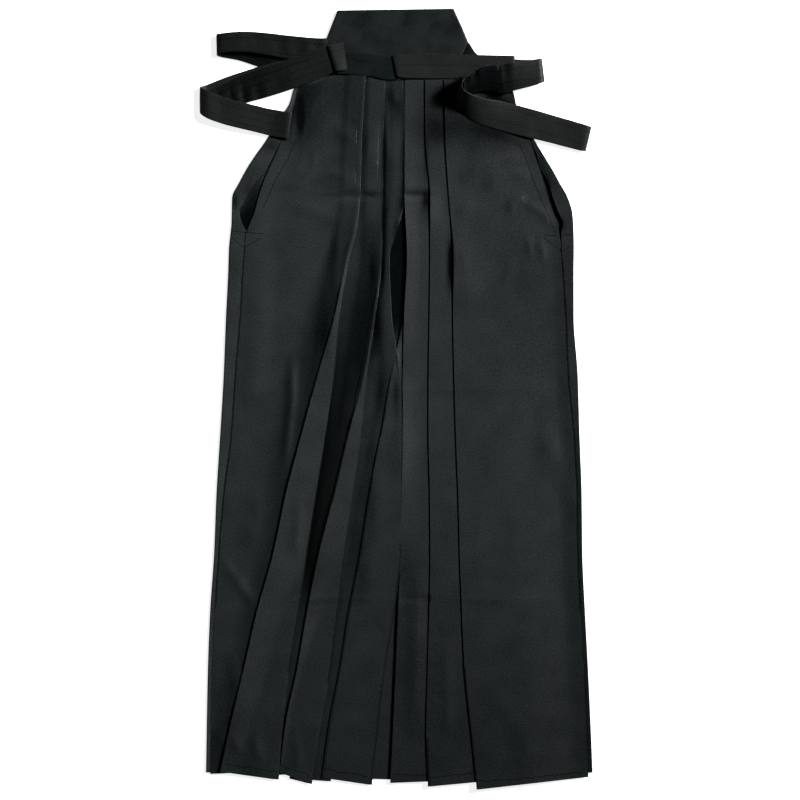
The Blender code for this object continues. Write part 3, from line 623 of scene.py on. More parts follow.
# %% [markdown]
# ## Folding a section
# A pleat is one cloth that runs over itself. Separate strips laid side by side would look alike from above,
# but their edges would be cut and not folded. So each section across the garment is one line that goes to a
# fold, turns under and comes back. Its runs are laid in the order in which they rest on each other, and a
# small half round, flattened by the iron, joins each run to the next.

# %% A folded section
FOLD_SHARPNESS = 0.25  # how far a half round stands out, as a share of its radius
FOLD_RADIUS = (0.4, 2.4)  # least and greatest
TURN_ANGLES = np.radians((-90, -50, 0, 50, 90))


def folded_section(pile, turns, runs, order, low, opening, laid):
    """Mid-wall points of one section as rows of (x, z, place along the turns)."""
    count = len(runs)
    knots = [np.linspace(turns[k], turns[k + 1], runs[k][1] + 2) for k in range(count)]
    heights, starts = dict(laid), {}
    for k in order:
        starts[k] = pile.top.copy()
        z = pile.heights(knots[k], runs[k][0])
        if k in low:
            first, risen = low[k]
            stacked, pile.top = pile.top, starts[first]
            flat = pile.heights(knots[k], runs[k][0])
            pile.top = stacked
            z = flat + (z - flat) * risen
        heights[k] = z
        pile.lay(knots[k], z, 0 if k in (0, count - 1) else WALL)
    points = [(turns[0], heights[0][0], 0.0)]
    for k in range(count):
        steps = runs[k][1] + 1
        points += [(knots[k][j], heights[k][j], k + j / steps) for j in range(1, steps)]
        if k == count - 1:
            break
        turn = k + 1
        here, after = heights[k][-1], heights[turn][0]
        radius = min(max(abs(after - here) / 2, FOLD_RADIUS[0]), FOLD_RADIUS[1])
        came = -np.sign(turns[turn] - turns[k])
        goes = np.sign(turns[turn + 1] - turns[turn])
        if turn in opening:
            came, goes = -1, -opening[turn]
        if k in opening:
            came, goes = opening[k], 1
        for angle in TURN_ANGLES:
            side = came if angle < 0 else goes
            x = turns[turn] + side * FOLD_SHARPNESS * radius * (1 - math.cos(angle))
            z = (here + after) / 2 + (after - here) / 2 * math.sin(angle)
            points.append((x, z, turn + 0.03 * math.sin(angle)))
    points.append((turns[-1], heights[count - 1][-1], float(count)))
    return np.array(points)


def place_down(points, down, hem):
    """Points of a section in their place on the floor, following the waist and the uneven hem."""
    x = points[:, 0]
    edge = np.array(TOP_EDGE, float)
    top = smooth(edge[:, 0], edge[:, 1], x) * ease(-26, 0, down) * (1 - ease(0, TOP_REACH, down))
    extra = np.interp(points[:, 2], np.arange(len(hem)), hem) * ease(HEM_STARTS, FRONT_LENGTH, down)
    return np.column_stack([x, SEAM_Y - (down + top + extra), points[:, 1]])


print("a fold is", len(TURN_ANGLES), "points round")

# %% [markdown]
# ## A thin shell from sections
# Each panel is a grid of points: across the section and down the garment. Cloth has two faces, so the grid
# is moved half a thickness both ways along its own normal and the two sheets are joined round the rim. The
# Solidify modifier would thicken it too, but then both faces would carry the same painted shade.

# %% Shells
CLOTH = 0.36  # thickness of the finer cloth
SHARP_ANGLE = 0.75  # in radians
pieces = {}


def new_piece(name, vertices, faces, cloth, finish):
    """A mesh object; cloth holds each vertex's place across and down its cloth, and its painted shade."""
    mesh = bpy.data.meshes.new(name)
    mesh.from_pydata((np.asarray(vertices) * MM).tolist(), [], faces)
    work = bmesh.new()
    work.from_mesh(mesh)
    bmesh.ops.recalc_face_normals(work, faces=work.faces)
    work.to_mesh(mesh)
    work.free()
    if cloth is not None:
        place = mesh.attributes.new("cloth", "FLOAT_VECTOR", "POINT")
        place.data.foreach_set("vector", np.asarray(cloth, np.float32).ravel())
    mesh.materials.append(finish)
    mesh.shade_smooth()
    mesh.set_sharp_from_angle(angle=SHARP_ANGLE)
    piece = bpy.data.objects.new(name, mesh)
    bpy.context.scene.collection.objects.link(piece)
    pieces[name] = piece


def distances(line):
    """How far along a line each of its points lies."""
    return np.concatenate([[0], np.cumsum(np.linalg.norm(np.diff(line, axis=0), axis=1))])


def normals(grid):
    """The direction in which each place of a grid faces."""
    normal = np.cross(np.gradient(grid, axis=1), np.gradient(grid, axis=0))
    return normal / np.linalg.norm(normal, axis=2)[:, :, None]


# The upper face's painted shade is one number or a grid of them, and under is the lower face's.
def shell(name, grid, thickness, finish, painted_shade=0.0, under=None):
    """grid: rows down the piece, places across it, three numbers each, in millimetres."""
    rows, count = grid.shape[:2]
    half = np.broadcast_to(np.asarray(thickness, float), (rows, count))[:, :, None] / 2
    offset = normals(grid) * half
    both = np.concatenate([grid + offset, (grid - offset)[:, ::-1]], axis=1)
    ring = 2 * count
    a = (np.arange(rows - 1)[:, None] * ring + np.arange(ring)[None, :]).ravel()
    b = (np.arange(rows - 1)[:, None] * ring + (np.arange(ring)[None, :] + 1) % ring).ravel()
    faces = np.column_stack([a, b, b + ring, a + ring]).tolist()
    k = np.arange(count - 1)
    for first in (0, (rows - 1) * ring):
        far = first + ring - 1 - k
        faces += np.column_stack([first + k, first + k + 1, far - 1, far]).tolist()
    u = np.zeros((rows, count))
    u[:, 1:] = np.cumsum(np.linalg.norm(np.diff(grid, axis=1), axis=2), axis=1)
    v = np.broadcast_to(distances(grid.mean(axis=1))[:, None], u.shape)
    cloth = np.stack([u, v, np.broadcast_to(painted_shade, u.shape)], axis=2)
    below = cloth[:, ::-1].copy()
    if under is not None:
        below[:, :, 2] = under[:, ::-1]
    cloth = np.concatenate([cloth, below], axis=1)
    new_piece(name, both.reshape(-1, 3), faces, cloth.reshape(-1, 3), finish)


print("a panel is", CLOTH, "mm thick")

# %% [markdown]
# ## How the fronts are folded
# Runs are named from the side inwards: L0, L1 and L2 are the left front's ground, P1, P2 and P3 are the
# strips that open over it, R3, R2 and R1 are the right front's pleats. A worn hakama's pleats never lie quite
# shut, so the tables say where the cloth climbs towards a strip and where an edge stands up. What lies under
# a fold has few points, because nobody sees it.

# %% Tables of the folds
STRIP_RISES = (
    # down, then for the first strip's cloth its rise and reach, and for the second's and the
    # third's its rise, the power or dip that shapes it, and the dip beside its left end
    (0, 2, 50, 0, 1, 0.5, 0, 0.3),
    (60, 3, 60, 0, 1, 1.2, 0, 1),
    (100, 2.6, 60, 0, 1, 1.6, 0, 1.2),
    (150, 0.8, 40, 0.1, 1, 0.8, 0, 1.4),
    (200, 3.5, 30, 1.5, 2, 0.5, 0, 2.2),
    (260, 7.5, 34, 6.5, 2.5, 0.5, 0.1, 3.5),
    (330, 11, 42, 14, 1.6, 0.5, 0.3, 4.5),
    (420, 8, 52, 17.5, 1.1, 1, 1, 0.6),
    (500, 6.5, 40, 16.5, 1, 1.2, 1.6, 0.9),
    (580, 4.4, 28, 13.5, 1, 1.2, 1.8, 1),
    (660, 3.4, 24, 8.5, 1, 1.2, 1.6, 0.5),
    (710, 3, 24, 2.5, 1, 0.6, 1, 0.4),
    (850, 2.5, 28, 0.6, 1, 0.5, 0.6, 0.4),
    (950, 2, 26, 0.5, 1, 0.5, 0.5, 0.4),
)
OPENINGS = (
    # fold of the right front, from, to, how far its edge stands up, how far in that reaches
    (0, 90, 370, 1.3, 18),
    (0, 330, 640, 1, 26),
    (1, 140, 200, 1.4, 18),
    (2, 200, 300, 1.3, 24),
    (2, 20, 120, 0.4, 30),
)
# each run's name and how many points it has between its two turns
LEFT_RUNS = (("L0", 40), ("in_1", 3), ("P1", 20), ("under_a", 2), ("L1", 20), ("in_2", 2), ("P2", 14),
             ("under_b", 2), ("L2", 16), ("under_c", 2), ("low_3", 8), ("in_3", 3), ("P3", 15),
             ("under_3", 1), ("inner", 3))
LEFT_ORDER = (14, 13, 10, 9, 8, 11, 12, 7, 4, 5, 6, 3, 0, 1, 2)  # from the lowest run to the topmost
RIGHT_RUNS = (("R3", 64), ("under_r3", 2), ("R2", 20), ("under_r2", 2), ("R1", 20), ("under_r1", 2),
              ("inner", 4))
RIGHT_ORDER = (5, 4, 3, 2, 1, 0)
print("runs of cloth:", len(LEFT_RUNS), "on the left front,", len(RIGHT_RUNS), "on the right")

# %% [markdown]
# ## The left front's turns and swells
# Near the waist a strip is shut: its fold is tucked right under its edge. It opens further down, and the
# cloth beside it climbs to meet it. The strips could be modelled one by one, but as turns of one line they
# stay the one piece of cloth that they are.

# %% Turns of the left front
SHUT_LEFT = 4.0  # a shut strip's fold is tucked this far to the left of its edge
OPEN_RIGHT = 2.6  # and an open one's lies at least this far to the right
OPENS_WITHIN = 42  # the length over which a strip opens
THIRD_RISES = (200, 248)  # where the third strip's stack comes up
THIRD_DEPTH = 0.8  # the pleat behind it is this much shallower
STACKS = ((0, (1, 2)), (4, (5, 6)), (14, (10, 11, 12, 13)))  # a run, and those that go up to lie over it
TURN_SPAN = 1.6  # a fold whose runs part by less than this is still opening


def left_turns(down):
    """Where the left front's section turns, which runs rise late, and where a fold is still opening."""
    front_l = columns(SIDES, down)[2]
    strip_1, edge_a, strip_2, edge_b, edge_c, strip_3, edge_3, under_3 = columns(LEFT_FOLDS, down)
    depth = pleat_depth(down)
    inner = []
    for edge, strip, (_, end) in zip((edge_a, edge_b, edge_3), (strip_1, strip_2, strip_3), TUCKS):
        shut, folded = strip - SHUT_LEFT, max(edge - NEST, strip + OPEN_RIGHT)
        inner.append(shut + (folded - shut) * ease(end, end + OPENS_WITHIN, down))
    turns = [front_l, inner[0], strip_1, edge_a, edge_a - depth, inner[1], strip_2, edge_b, edge_b - depth,
             edge_c, edge_c - THIRD_DEPTH * depth, inner[2], strip_3, edge_3, under_3,
             middle_seams(down)[0]]
    opening = {turn: float(np.clip((turns[turn] - turns[turn + 1]) / TURN_SPAN, -1, 1))
               for turn in (1, 5, 11, 13)}
    rise = [float(ease(*span, down)) for span in (*TUCKS[:2], THIRD_RISES)]
    low = {run: (first, risen) for (first, above), risen in zip(STACKS, rise) for run in above}
    return turns, low, opening


print("at the hem the left front turns at", [round(x) for x in left_turns(FRONT_LENGTH)[0]])

# %% Swells of the left front
FALLS = (0.085, 0.07)  # how steeply cloth comes down beyond the first and the second strip
STEEPER = (500, 620, 0.05)  # from, to, and how much steeper it comes down beyond the second
DIP_WIDTH = 3.5  # a dip beside an edge comes up within about this length
BESIDE = 3  # a strip's swell starts this far to the left of the edge behind it
FIRST_POWER, THIRD_POWER = 1.8, 3.0  # how late the climb to a strip steepens
SHOWS_BEYOND = (340, 420)  # where the dip reaches on past the third strip


def rise_towards(x, start, peak, height, power, fall):
    """Cloth that climbs from start to a fold at peak and comes down gently beyond it."""
    climb = np.clip((x - start) / max(peak - start, 1.0), 0, 1) ** power
    return np.where(x < peak, height * climb, np.maximum(height - fall * (x - peak), 0))


def dip(x, edge, depth):
    """Cloth beside an edge lies lower and comes up within a few millimetres."""
    return depth * (1 - np.exp(-np.maximum(x - edge, 0) / DIP_WIDTH))


def strip_lift(points, turns, down):
    """Each strip stands on the cloth that climbs towards it, and the layers between go up together."""
    rise_1, reach_1, rise_2, power_2, dip_2, rise_3, dip_3 = columns(STRIP_RISES, down)
    x, run = points[:, 0], points[:, 2]
    start, end, steeper = STEEPER
    steep = (FALLS[0], FALLS[1] + steeper * float(ease(start, end, down)))
    falls = [share * float(ease(start, end, down)) for share, (start, end) in zip(steep, TUCKS)]
    first = rise_towards(x, turns[2] - reach_1, turns[2], rise_1, FIRST_POWER, falls[0])
    second = rise_towards(x, turns[3] - BESIDE, turns[6], rise_2, power_2, falls[1])
    second = second + dip(x, turns[3], dip_2)
    edge_r1 = columns(RIGHT_FOLDS, down)[0]
    beyond = float(ease(*SHOWS_BEYOND, down)) * (1 - ease(turns[12], max(edge_r1 - 1, turns[12] + 5), x))
    third = rise_towards(x, turns[7] - BESIDE, turns[12], rise_3, THIRD_POWER, 0.0)
    third = third * (1 - ease(edge_r1 + 1, edge_r1 + 9, x))
    third = third + dip(x, turns[7], dip_3) * np.where(run < 9, 1.0, beyond)
    return np.where(run < 4, first, np.where(run < 8, second, np.where(run < 14, third, 0)))


print("a dip of 1 mm, 4 mm in from its edge:", round(float(dip(4.0, 0.0, 1.0)), 2), "mm")

# %% [markdown]
# ## Sections of both fronts
# The inner edge of the right front is laid first, then the whole left front, and the rest of the right
# front over that. Stations down the cloth stand closer together where a pressed crease runs across. Laid one
# by one the sections could jump, which no thread can, so their heights are evened out down the cloth, and
# the creases are pressed in last.

# %% Sections of the fronts
GAPE = 1.2  # how far the left front's edge stands off the back in the side slit
GAPE_REACH = 34.0
GAPE_SPAN = ((60, 120), (200, 236))  # where it begins to gape, and where it lies flat again
BAND_LIFT = 2.6  # how far the fronts come up to the band that they are sewn into
BAND_FADE = 50.0
BAND_ENDS = ((-128, -98), (86, 112))


def edge_lift(points, edges, down):
    """Where a pleat of the right front gapes, its edge and all that lies over it stand up a little."""
    x, run = points[:, 0], points[:, 2]
    lift = np.zeros_like(x)
    for fold, start, end, height, reach in OPENINGS:
        along = math.sin(math.pi * float(np.clip((down - start) / (end - start), 0, 1))) ** 0.8
        over = np.clip(1 - (x - edges[fold]) / reach, 0, 1) * (x > edges[fold] - 4)
        lift = lift + height * along * over**1.2 * (run < 6 - 2 * fold)
    return lift


def waist_rise(x, down):
    """The fronts come up to the band that they are sewn into."""
    left, right = BAND_ENDS
    return BAND_LIFT * (1 - ease(0, BAND_FADE, down)) * ease(*left, x) * (1 - ease(*right, x))


def front_sections(down):
    """The left and the right front's points across the garment at one distance down."""
    back_l, _, _, front_r, _, back_r = columns(SIDES, down)
    edge_r1, edge_r2, edge_r3 = columns(RIGHT_FOLDS, down)
    middle_l, middle_r, _, _ = middle_seams(down)
    depth = pleat_depth(down)
    pile = Pile(down, back_l, back_r, RIGHT_LAYERS)
    right = [front_r, edge_r3, edge_r3 + depth, edge_r2, edge_r2 + depth, edge_r1, edge_r1 + depth, middle_r]
    last = len(right) - 2
    lowest = pile.heights(np.linspace(right[last], right[last + 1], RIGHT_RUNS[last][1] + 2), "inner")
    pile.lay(right[last:], lowest[[0, -1]], 0)
    pile.cover(middle_l, middle_r, lowest.max() + WALL / 2)
    turns, low, opening = left_turns(down)
    pile.layers = LEFT_LAYERS
    left = folded_section(pile, turns, LEFT_RUNS, LEFT_ORDER, low, opening, {})
    gape = GAPE * float(ease(*GAPE_SPAN[0], down) * (1 - ease(*GAPE_SPAN[1], down)))
    left[:, 1] += strip_lift(left, turns, down) + waist_rise(left[:, 0], down)
    left[:, 1] += gape * (1 - ease(0, GAPE_REACH, left[:, 0] - turns[0])) * (left[:, 2] < 1)
    pile.layers = RIGHT_LAYERS
    right = folded_section(pile, right, RIGHT_RUNS, RIGHT_ORDER, {}, {}, {last: lowest})
    right[:, 1] += edge_lift(right, (edge_r1, edge_r2, edge_r3), down) + waist_rise(right[:, 0], down)
    return place_down(left, down, LEFT_HEM), place_down(right, down, RIGHT_HEM)


print("a section of the fronts:", [len(half) for half in front_sections(FRONT_LENGTH / 2)], "points")


# %% Grids of the fronts
STEP = 5.6
FINE_STEP = 2.4
CROSS_CREASES = (154.0, 420.0, 700.0)
CREASE_ZONE = 12  # sections stand closer together this near to a pressed crease
LOWEST = 1.0  # cloth is never pressed lower than this above the floor
GIVES = 0.2  # and of what stands above it, a trough leaves at least this share
SETTLE = 14.0  # heights are evened out over about this length


def stations():
    """Distances down the cloth, closer together where a pressed crease runs across."""
    made = [0.0]
    while made[-1] < FRONT_LENGTH:
        near = min(abs(made[-1] - down) for down in CROSS_CREASES)
        made.append(made[-1] + (FINE_STEP if near < CREASE_ZONE else STEP))
    return np.array(made) * FRONT_LENGTH / made[-1]


def settled(sections, runs):
    """Heights evened out down the cloth, then the creases laid in."""
    grid = np.array(sections)
    share = np.exp(-(((downs[:, None] - downs[None, :]) / SETTLE) ** 2) / 2) * np.gradient(downs)[None, :]
    grid[:, :, 2] = (share / share.sum(axis=1, keepdims=True)) @ grid[:, :, 2]
    names = [runs[0][0]]
    for k, (name, inside) in enumerate(runs):
        after = runs[min(k + 1, len(runs) - 1)][0]
        names += [name] * inside + ([name] * 3 + [after] * 2 if k < len(runs) - 1 else [name])
    for name in set(names):
        own = np.array([label == name for label in names])
        high = grid[:, own, 2]
        pressed = high + relief(name, grid[:, own, 0], downs[:, None])
        grid[:, own, 2] = np.maximum(pressed, LOWEST + GIVES * (high - LOWEST))
    return grid


downs = stations()
pairs = [front_sections(down) for down in downs]
left_grid = settled([left for left, _ in pairs], LEFT_RUNS)
right_grid = settled([right for _, right in pairs], RIGHT_RUNS)
print("fronts:", left_grid.shape[:2], "and", right_grid.shape[:2], "points down and across")

# %% [markdown]
# ## Where little light reaches
# Deep in a pleat or under a tie the cloth is nearly black. The renderer finds the shadow of what is modelled,
# but not that of the fine puckers that are left out, so each panel also has soft spots of painted shade: in
# the openings of the pleats, beside fold edges, under the ties, as a wider cast shadow of the loop, and in
# broad dim patches where less light falls. A vertex carries its painted shade beside its place in the cloth,
# and the finish mixes in unlit cloth by it.

# %% Spots of shade
SHADE = {
    # piece: spots that little light reaches: x, down, half width, half length, how dark
    "front_left_panel": (
        (-118, 6, 60, 26, 0.45), (-140, 60, 26, 46, 0.35), (-129, 45, 5, 34, 0.7), (4, 34, 9, 20, 0.75),
        (-8, 20, 6, 14, 0.5), (-228, 890, 26, 90, 0.3), (-64, 60, 30, 30, 0.15), (-50, 350, 12, 60, 0.5),
        (-96, 340, 8, 40, 0.5), (-23, 338, 8, 30, 0.75), (-21, 418, 8, 34, 0.7), (0, 425, 5, 30, 0.7),
        (-34, 505, 7, 30, 0.35), (-34, 578, 8, 38, 0.5), (-46, 660, 11, 46, 0.45), (-31, 258, 5, 24, 0.6),
        (-15.8, 100, 3.0, 50, 1.3), (-16.6, 196, 3.2, 50, 1.5), (-18.4, 258, 2.6, 24, 1.0),
        (10.2, 112, 3.0, 56, 1.4), (-75, 156, 28, 4, 0.42), (-33, 155, 11, 3.6, 0.5),
        (-40, 215, 10, 44, 0.45), (-36, 300, 14, 50, 0.4), (-82, 225, 5.5, 24, 0.5),
        (-41.5, 92, 3.4, 18, 0.5), (-102, 345, 14, 34, 0.25), (-147, 26, 10, 26, 0.8),
        (9, 168, 6, 18, 0.9), (1, 208, 5, 24, 0.9), (-200, 930, 90, 40, 0.12), (-124, 36, 10, 36, 0.25),
        (-100, 44, 60, 30, 0.2),
    ),
    "front_right_panel": (
        (135, 17, 34, 14, 1.0), (50, 66, 26, 30, 0.7), (110, 800, 150, 150, 0.1), (114, 66, 50, 26, 0.7),
        (73.5, 248, 4.4, 30, 1.5), (40, 165, 5, 15, 1.0), (28, 154, 18, 3.6, 0.45), (40, 112, 3, 26, 0.7),
        (22, 800, 40, 130, 0.25), (160, 80, 40, 20, 0.3), (170, 900, 110, 90, 0.12),
        (60, 12, 30, 12, 0.3), (160, 220, 90, 180, 0.23), (158, 112, 40, 16, 0.15),
        (185, 360, 44, 150, 0.14), (193, 500, 10, 34, 0.15), (14, 665, 18, 40, 0.2),
    ),
    "back_left_panel": (
        (-200, 149, 6, 12, 0.5), (-217, 164, 4, 13, 0.85), (-168, 87, 14, 12, 0.6),
        (-192, 128, 20, 20, 0.25), (-214, 196, 10, 10, 0.2), (-222, 262, 14, 50, 0.22),
        (-248, 680, 8, 130, 0.35),
    ),
    "back_left_inside": (
        (-203, 194, 18, 24, 1.2), (-192, 150, 13, 40, 0.9), (-172, 90, 14, 30, 0.8),
    ),
    "back_right_panel": (
        (202, 146, 7, 20, 0.95), (195, 110, 8, 24, 0.6), (222, 196, 5, 8, 0.9), (214, 140, 20, 60, 0.25),
        (232, 262, 12, 60, 0.3),
    ),
    "back_right_inside": (
        (202, 146, 9, 24, 1.1), (220, 194, 9, 12, 1.1), (192, 110, 10, 24, 0.8),
    ),
}
DARKEST = 1.1
print("spots of shade:", {name: len(spots) for name, spots in SHADE.items()})

# %% Shade in the folds
OPENING_ENDS = ((95, 190), (325, 368))  # where the opening beside the middle begins, and where it ends
RIMS = ((2, 0.35, 0.8), (6, 0.35, 0.8), (12, 0.4, 0.6))  # strip, shade under its fold above and below
RIM_CHANGES = ((150, 220), (470, 620))


def shaded(name, x, down):
    """The soft spots of a piece, added up."""
    dark = np.zeros(np.broadcast(x, down).shape)
    for at_x, at_down, wide, long, depth in SHADE[name]:
        dark = dark + depth * np.exp(-(((x - at_x) / wide) ** 2) - ((down - at_down) / long) ** 2)
    return np.clip(dark, 0, DARKEST)


def hollow(grid):
    """How little light reaches the left front inside the long opening beside the middle, 0 to 1."""
    reach = ease(*OPENING_ENDS[0], downs) * (1 - ease(*OPENING_ENDS[1], downs))
    turned = len(TURN_ANGLES)
    first = 2 + sum(inside + turned for _, inside in LEFT_RUNS[:9])
    painted_shade = np.zeros(grid.shape[:2])
    painted_shade[:, first:] = reach[:, None]
    for k, above, below in RIMS:
        end = 1 + sum(inside + turned for _, inside in LEFT_RUNS[:k + 1])
        rim = above * ease(*RIM_CHANGES[0], downs) + (below - above) * ease(*RIM_CHANGES[1], downs)
        painted_shade[:, end - turned:end] = np.maximum(painted_shade[:, end - turned:end], rim[:, None])
    return np.maximum(painted_shade, shaded("front_left_panel", grid[:, :, 0], downs[:, None]))


print("the left front's shade is", round(float(hollow(left_grid).mean()), 2), "on average")

# %% [markdown]
# ## The two fronts
# Each front of the real garment is one cloth from the side seam to the middle. Both are made as shells of
# their finished grids.

# %% Fronts
right_shade = shaded("front_right_panel", right_grid[:, :, 0], downs[:, None])
shell("front_left_panel", left_grid, CLOTH, front_finish, painted_shade=hollow(left_grid))
shell("front_right_panel", right_grid, CLOTH, front_finish, painted_shade=right_shade)
print("fronts:", {n: len(p.data.polygons) for n, p in pieces.items()}, "faces")

# %% [markdown]
# ## Backs and gussets
# Each back lies flat underneath, turns up at the side and comes round to the front as far as the seam.
# Between back and front, inside each leg, a narrow gusset widens from the crotch to the hem. Nobody sees
# more of them than their turned sides, so one line with one turn in it serves for both.

# %% Backs and gussets
LEVELS = (WALL / 2, WALL + LAY_GAP + WALL / 2)
TURN = (LEVELS[1] - LEVELS[0]) / 2
MID_LEVEL = sum(LEVELS) / 2
TURN_LIFT = (0.3, -0.4)  # how much higher than its level a back's turned edge lies at the fold, at the seam
GUSSET_LAP = 3.0  # how far a gusset turns in under its front
SIDE_OUT = 0.7  # how far the back's fold stands out past the packed model's
BACK_ROWS, GUSSET_ROWS = 200, 90


def turned_line(flat_end, apex, other_end, inward, flat_points, top_points, lift=(0.0, 0.0)):
    """X and Z of a cloth that lies flat, turns up at its apex and comes back on top of itself."""
    bottom = np.linspace(flat_end, apex + inward * TURN, flat_points)
    top = np.linspace(apex + inward * TURN, other_end, top_points)
    angles = np.radians((-55, -20, 20, 55))
    x = np.concatenate([bottom, apex + inward * TURN * (1 - np.cos(angles)), top])
    at_apex, at_end = lift
    rise = at_apex / 2 * (1 + np.sin(angles))
    z = np.concatenate([np.full(flat_points, LEVELS[0]), MID_LEVEL + TURN * np.sin(angles) + rise,
                        LEVELS[1] + np.linspace(at_apex, at_end, top_points)])
    return x, z


def back_section(down, side):
    back_l, turn_l, _, _, turn_r, back_r = columns(SIDES, down)
    _, _, inner_l, inner_r = middle_seams(down)
    fold, turned, inner = (back_l, turn_l, inner_l) if side < 0 else (back_r, turn_r, inner_r)
    side_lift = sum(columns(RIGHT_SIDE, down)) if side > 0 else 0.0
    lift = (side_lift + TURN_LIFT[0], side_lift + TURN_LIFT[1])
    x, z = turned_line(inner, fold + side * SIDE_OUT, turned, -side, 24, 8, lift)
    z = z + relief("back", x, down) * (z < MID_LEVEL)
    along = np.clip((x - inner) / (fold - inner), 0, 1)
    return place_down(np.column_stack([x, z, along]), down, BACK_HEM)


def gusset_section(down, side):
    front_l, front_r, back_l, back_r = middle_seams(down)
    front, back = (front_l, back_l) if side < 0 else (front_r, back_r)
    x, z = turned_line(back - side * SEAM_GAP, front - side * GUSSET_LAP, front - side * SEAM_GAP,
                       side, 8, 3)
    return place_down(np.column_stack([x, z, 0 * x]), down, (GUSSET_HEM, GUSSET_HEM))


back_downs = np.linspace(-26.6, FRONT_LENGTH, BACK_ROWS)
gusset_downs = np.linspace(CROTCH + 10, FRONT_LENGTH, GUSSET_ROWS)
for side, hand in ((-1, "left"), (1, "right")):
    grid = np.array([back_section(d, side) for d in back_downs])
    turned_in = grid[:, :, 2] > MID_LEVEL
    # painted shade on each back: inside its slit on the flat layer, and on its turned-in edge
    inside = shaded(f"back_{hand}_inside", grid[:, :, 0], back_downs[:, None]) * ~turned_in
    shade = shaded(f"back_{hand}_panel", grid[:, :, 0], back_downs[:, None]) * turned_in
    shell(f"back_{hand}_panel", grid, CLOTH, body_finish, painted_shade=shade + inside, under=shade)
    gusset = np.array([gusset_section(d, side) for d in gusset_downs])
    shell(f"gusset_{hand}_panel", gusset, CLOTH, body_finish)
print("pieces:", sorted(pieces))

# %% [markdown]
# ## Board and band
# The board that stands at the small of the back is card between two layers of twill. It lies face up here
# behind the waist. A band of folded twill closes the top of the fronts and laps a little over the board. A
# bevel would round their edges too, but a grid with its rim drawn in keeps the threads running over it.

# %% Board and band
BOARD_THICK = 3.6
BOARD_WIDTH = 175.0
BOARD_RIM = 1.8
BAND_TOP = 6.9
BAND_THICK = 1.6
BAND_WIDTH = 34.0
BOARD_ROWS = (
    # left x, y   right x, y
    (-86, 457.9, 86.5, 457.9),
    (-92.6, 466, 90.3, 466),
    (-94.2, 485.9, 97.7, 480.2),
    (-88.3, 501, 90.3, 498.4),
    (-79.3, 523.7, 77.6, 526),
)
BAND = ((-79.5, 467), (-66, 468), (-34, 465), (-6, 462.3), (38, 463), (79.5, 462.6))


def across_places(width, count, rim):
    """Places across a width, close together at both rims."""
    near = np.array([0.0, 0.12, 0.5, 1.1]) * rim
    middle = np.linspace(near[-1], width - near[-1], count)[1:-1]
    return np.concatenate([near, middle, (width - near)[::-1]]) / width


def rim_thickness(places, width, thick, rim):
    """Full thickness inside, drawn in on a quarter circle at both rims."""
    inside = np.clip(np.minimum(places, 1 - places) * width / rim, 0, 1)
    return thick * np.sqrt(np.clip(1 - (1 - inside) ** 2, 0.04, 1))


def build_board():
    rows = np.array(BOARD_ROWS)
    steps = (6, 10, 12, 16)
    cuts = np.concatenate([np.linspace(k, k + 1, n + 1)[:-1] for k, n in enumerate(steps)] + [[4.0]])
    edges = np.column_stack([np.interp(cuts, np.arange(5), rows[:, k]) for k in range(4)])
    u = across_places(BOARD_WIDTH, 60, BOARD_RIM)
    grid = np.full((len(cuts), len(u), 3), BOARD_THICK / 2)
    for axis in (0, 1):
        grid[:, :, axis] = edges[:, axis][:, None] * (1 - u) + edges[:, axis + 2][:, None] * u
    thick = np.tile(rim_thickness(u, BOARD_WIDTH, BOARD_THICK, BOARD_RIM), (len(cuts), 1))
    shell("board_cover", grid, thick, board_finish)


def build_band():
    edge = np.array(TOP_EDGE, float)
    x = np.linspace(BAND[0][0], BAND[-1][0], 60)
    upper = smooth(*np.array(BAND).T, x)
    lower = SEAM_Y - smooth(edge[:, 0], edge[:, 1], x) + SEAM_GAP
    t = across_places(BAND_WIDTH, 10, 1.0)
    grid = np.full((len(t), len(x), 3), BAND_TOP - BAND_THICK / 2)
    grid[:, :, 0] = x
    grid[:, :, 1] = upper + (lower - upper) * t[:, None]
    thick = np.repeat(rim_thickness(t, BAND_WIDTH, BAND_THICK, 0.8)[:, None], len(x), axis=1)
    shell("band_cover", grid, thick, band_finish)


build_board()
build_band()
print("board and band:", [len(pieces[n].data.polygons) for n in ("board_cover", "band_cover")], "faces")

# %% [markdown]
# ## The four ties
# A tie is one strip of twill folded into three and sewn along its edges, so it is flat, firm and a
# little crumpled. It could be a curve with a profile, but a tie is folded sharply in places and turned on its
# edge in others. So each is a table of sections: where its two edges lie and how high.

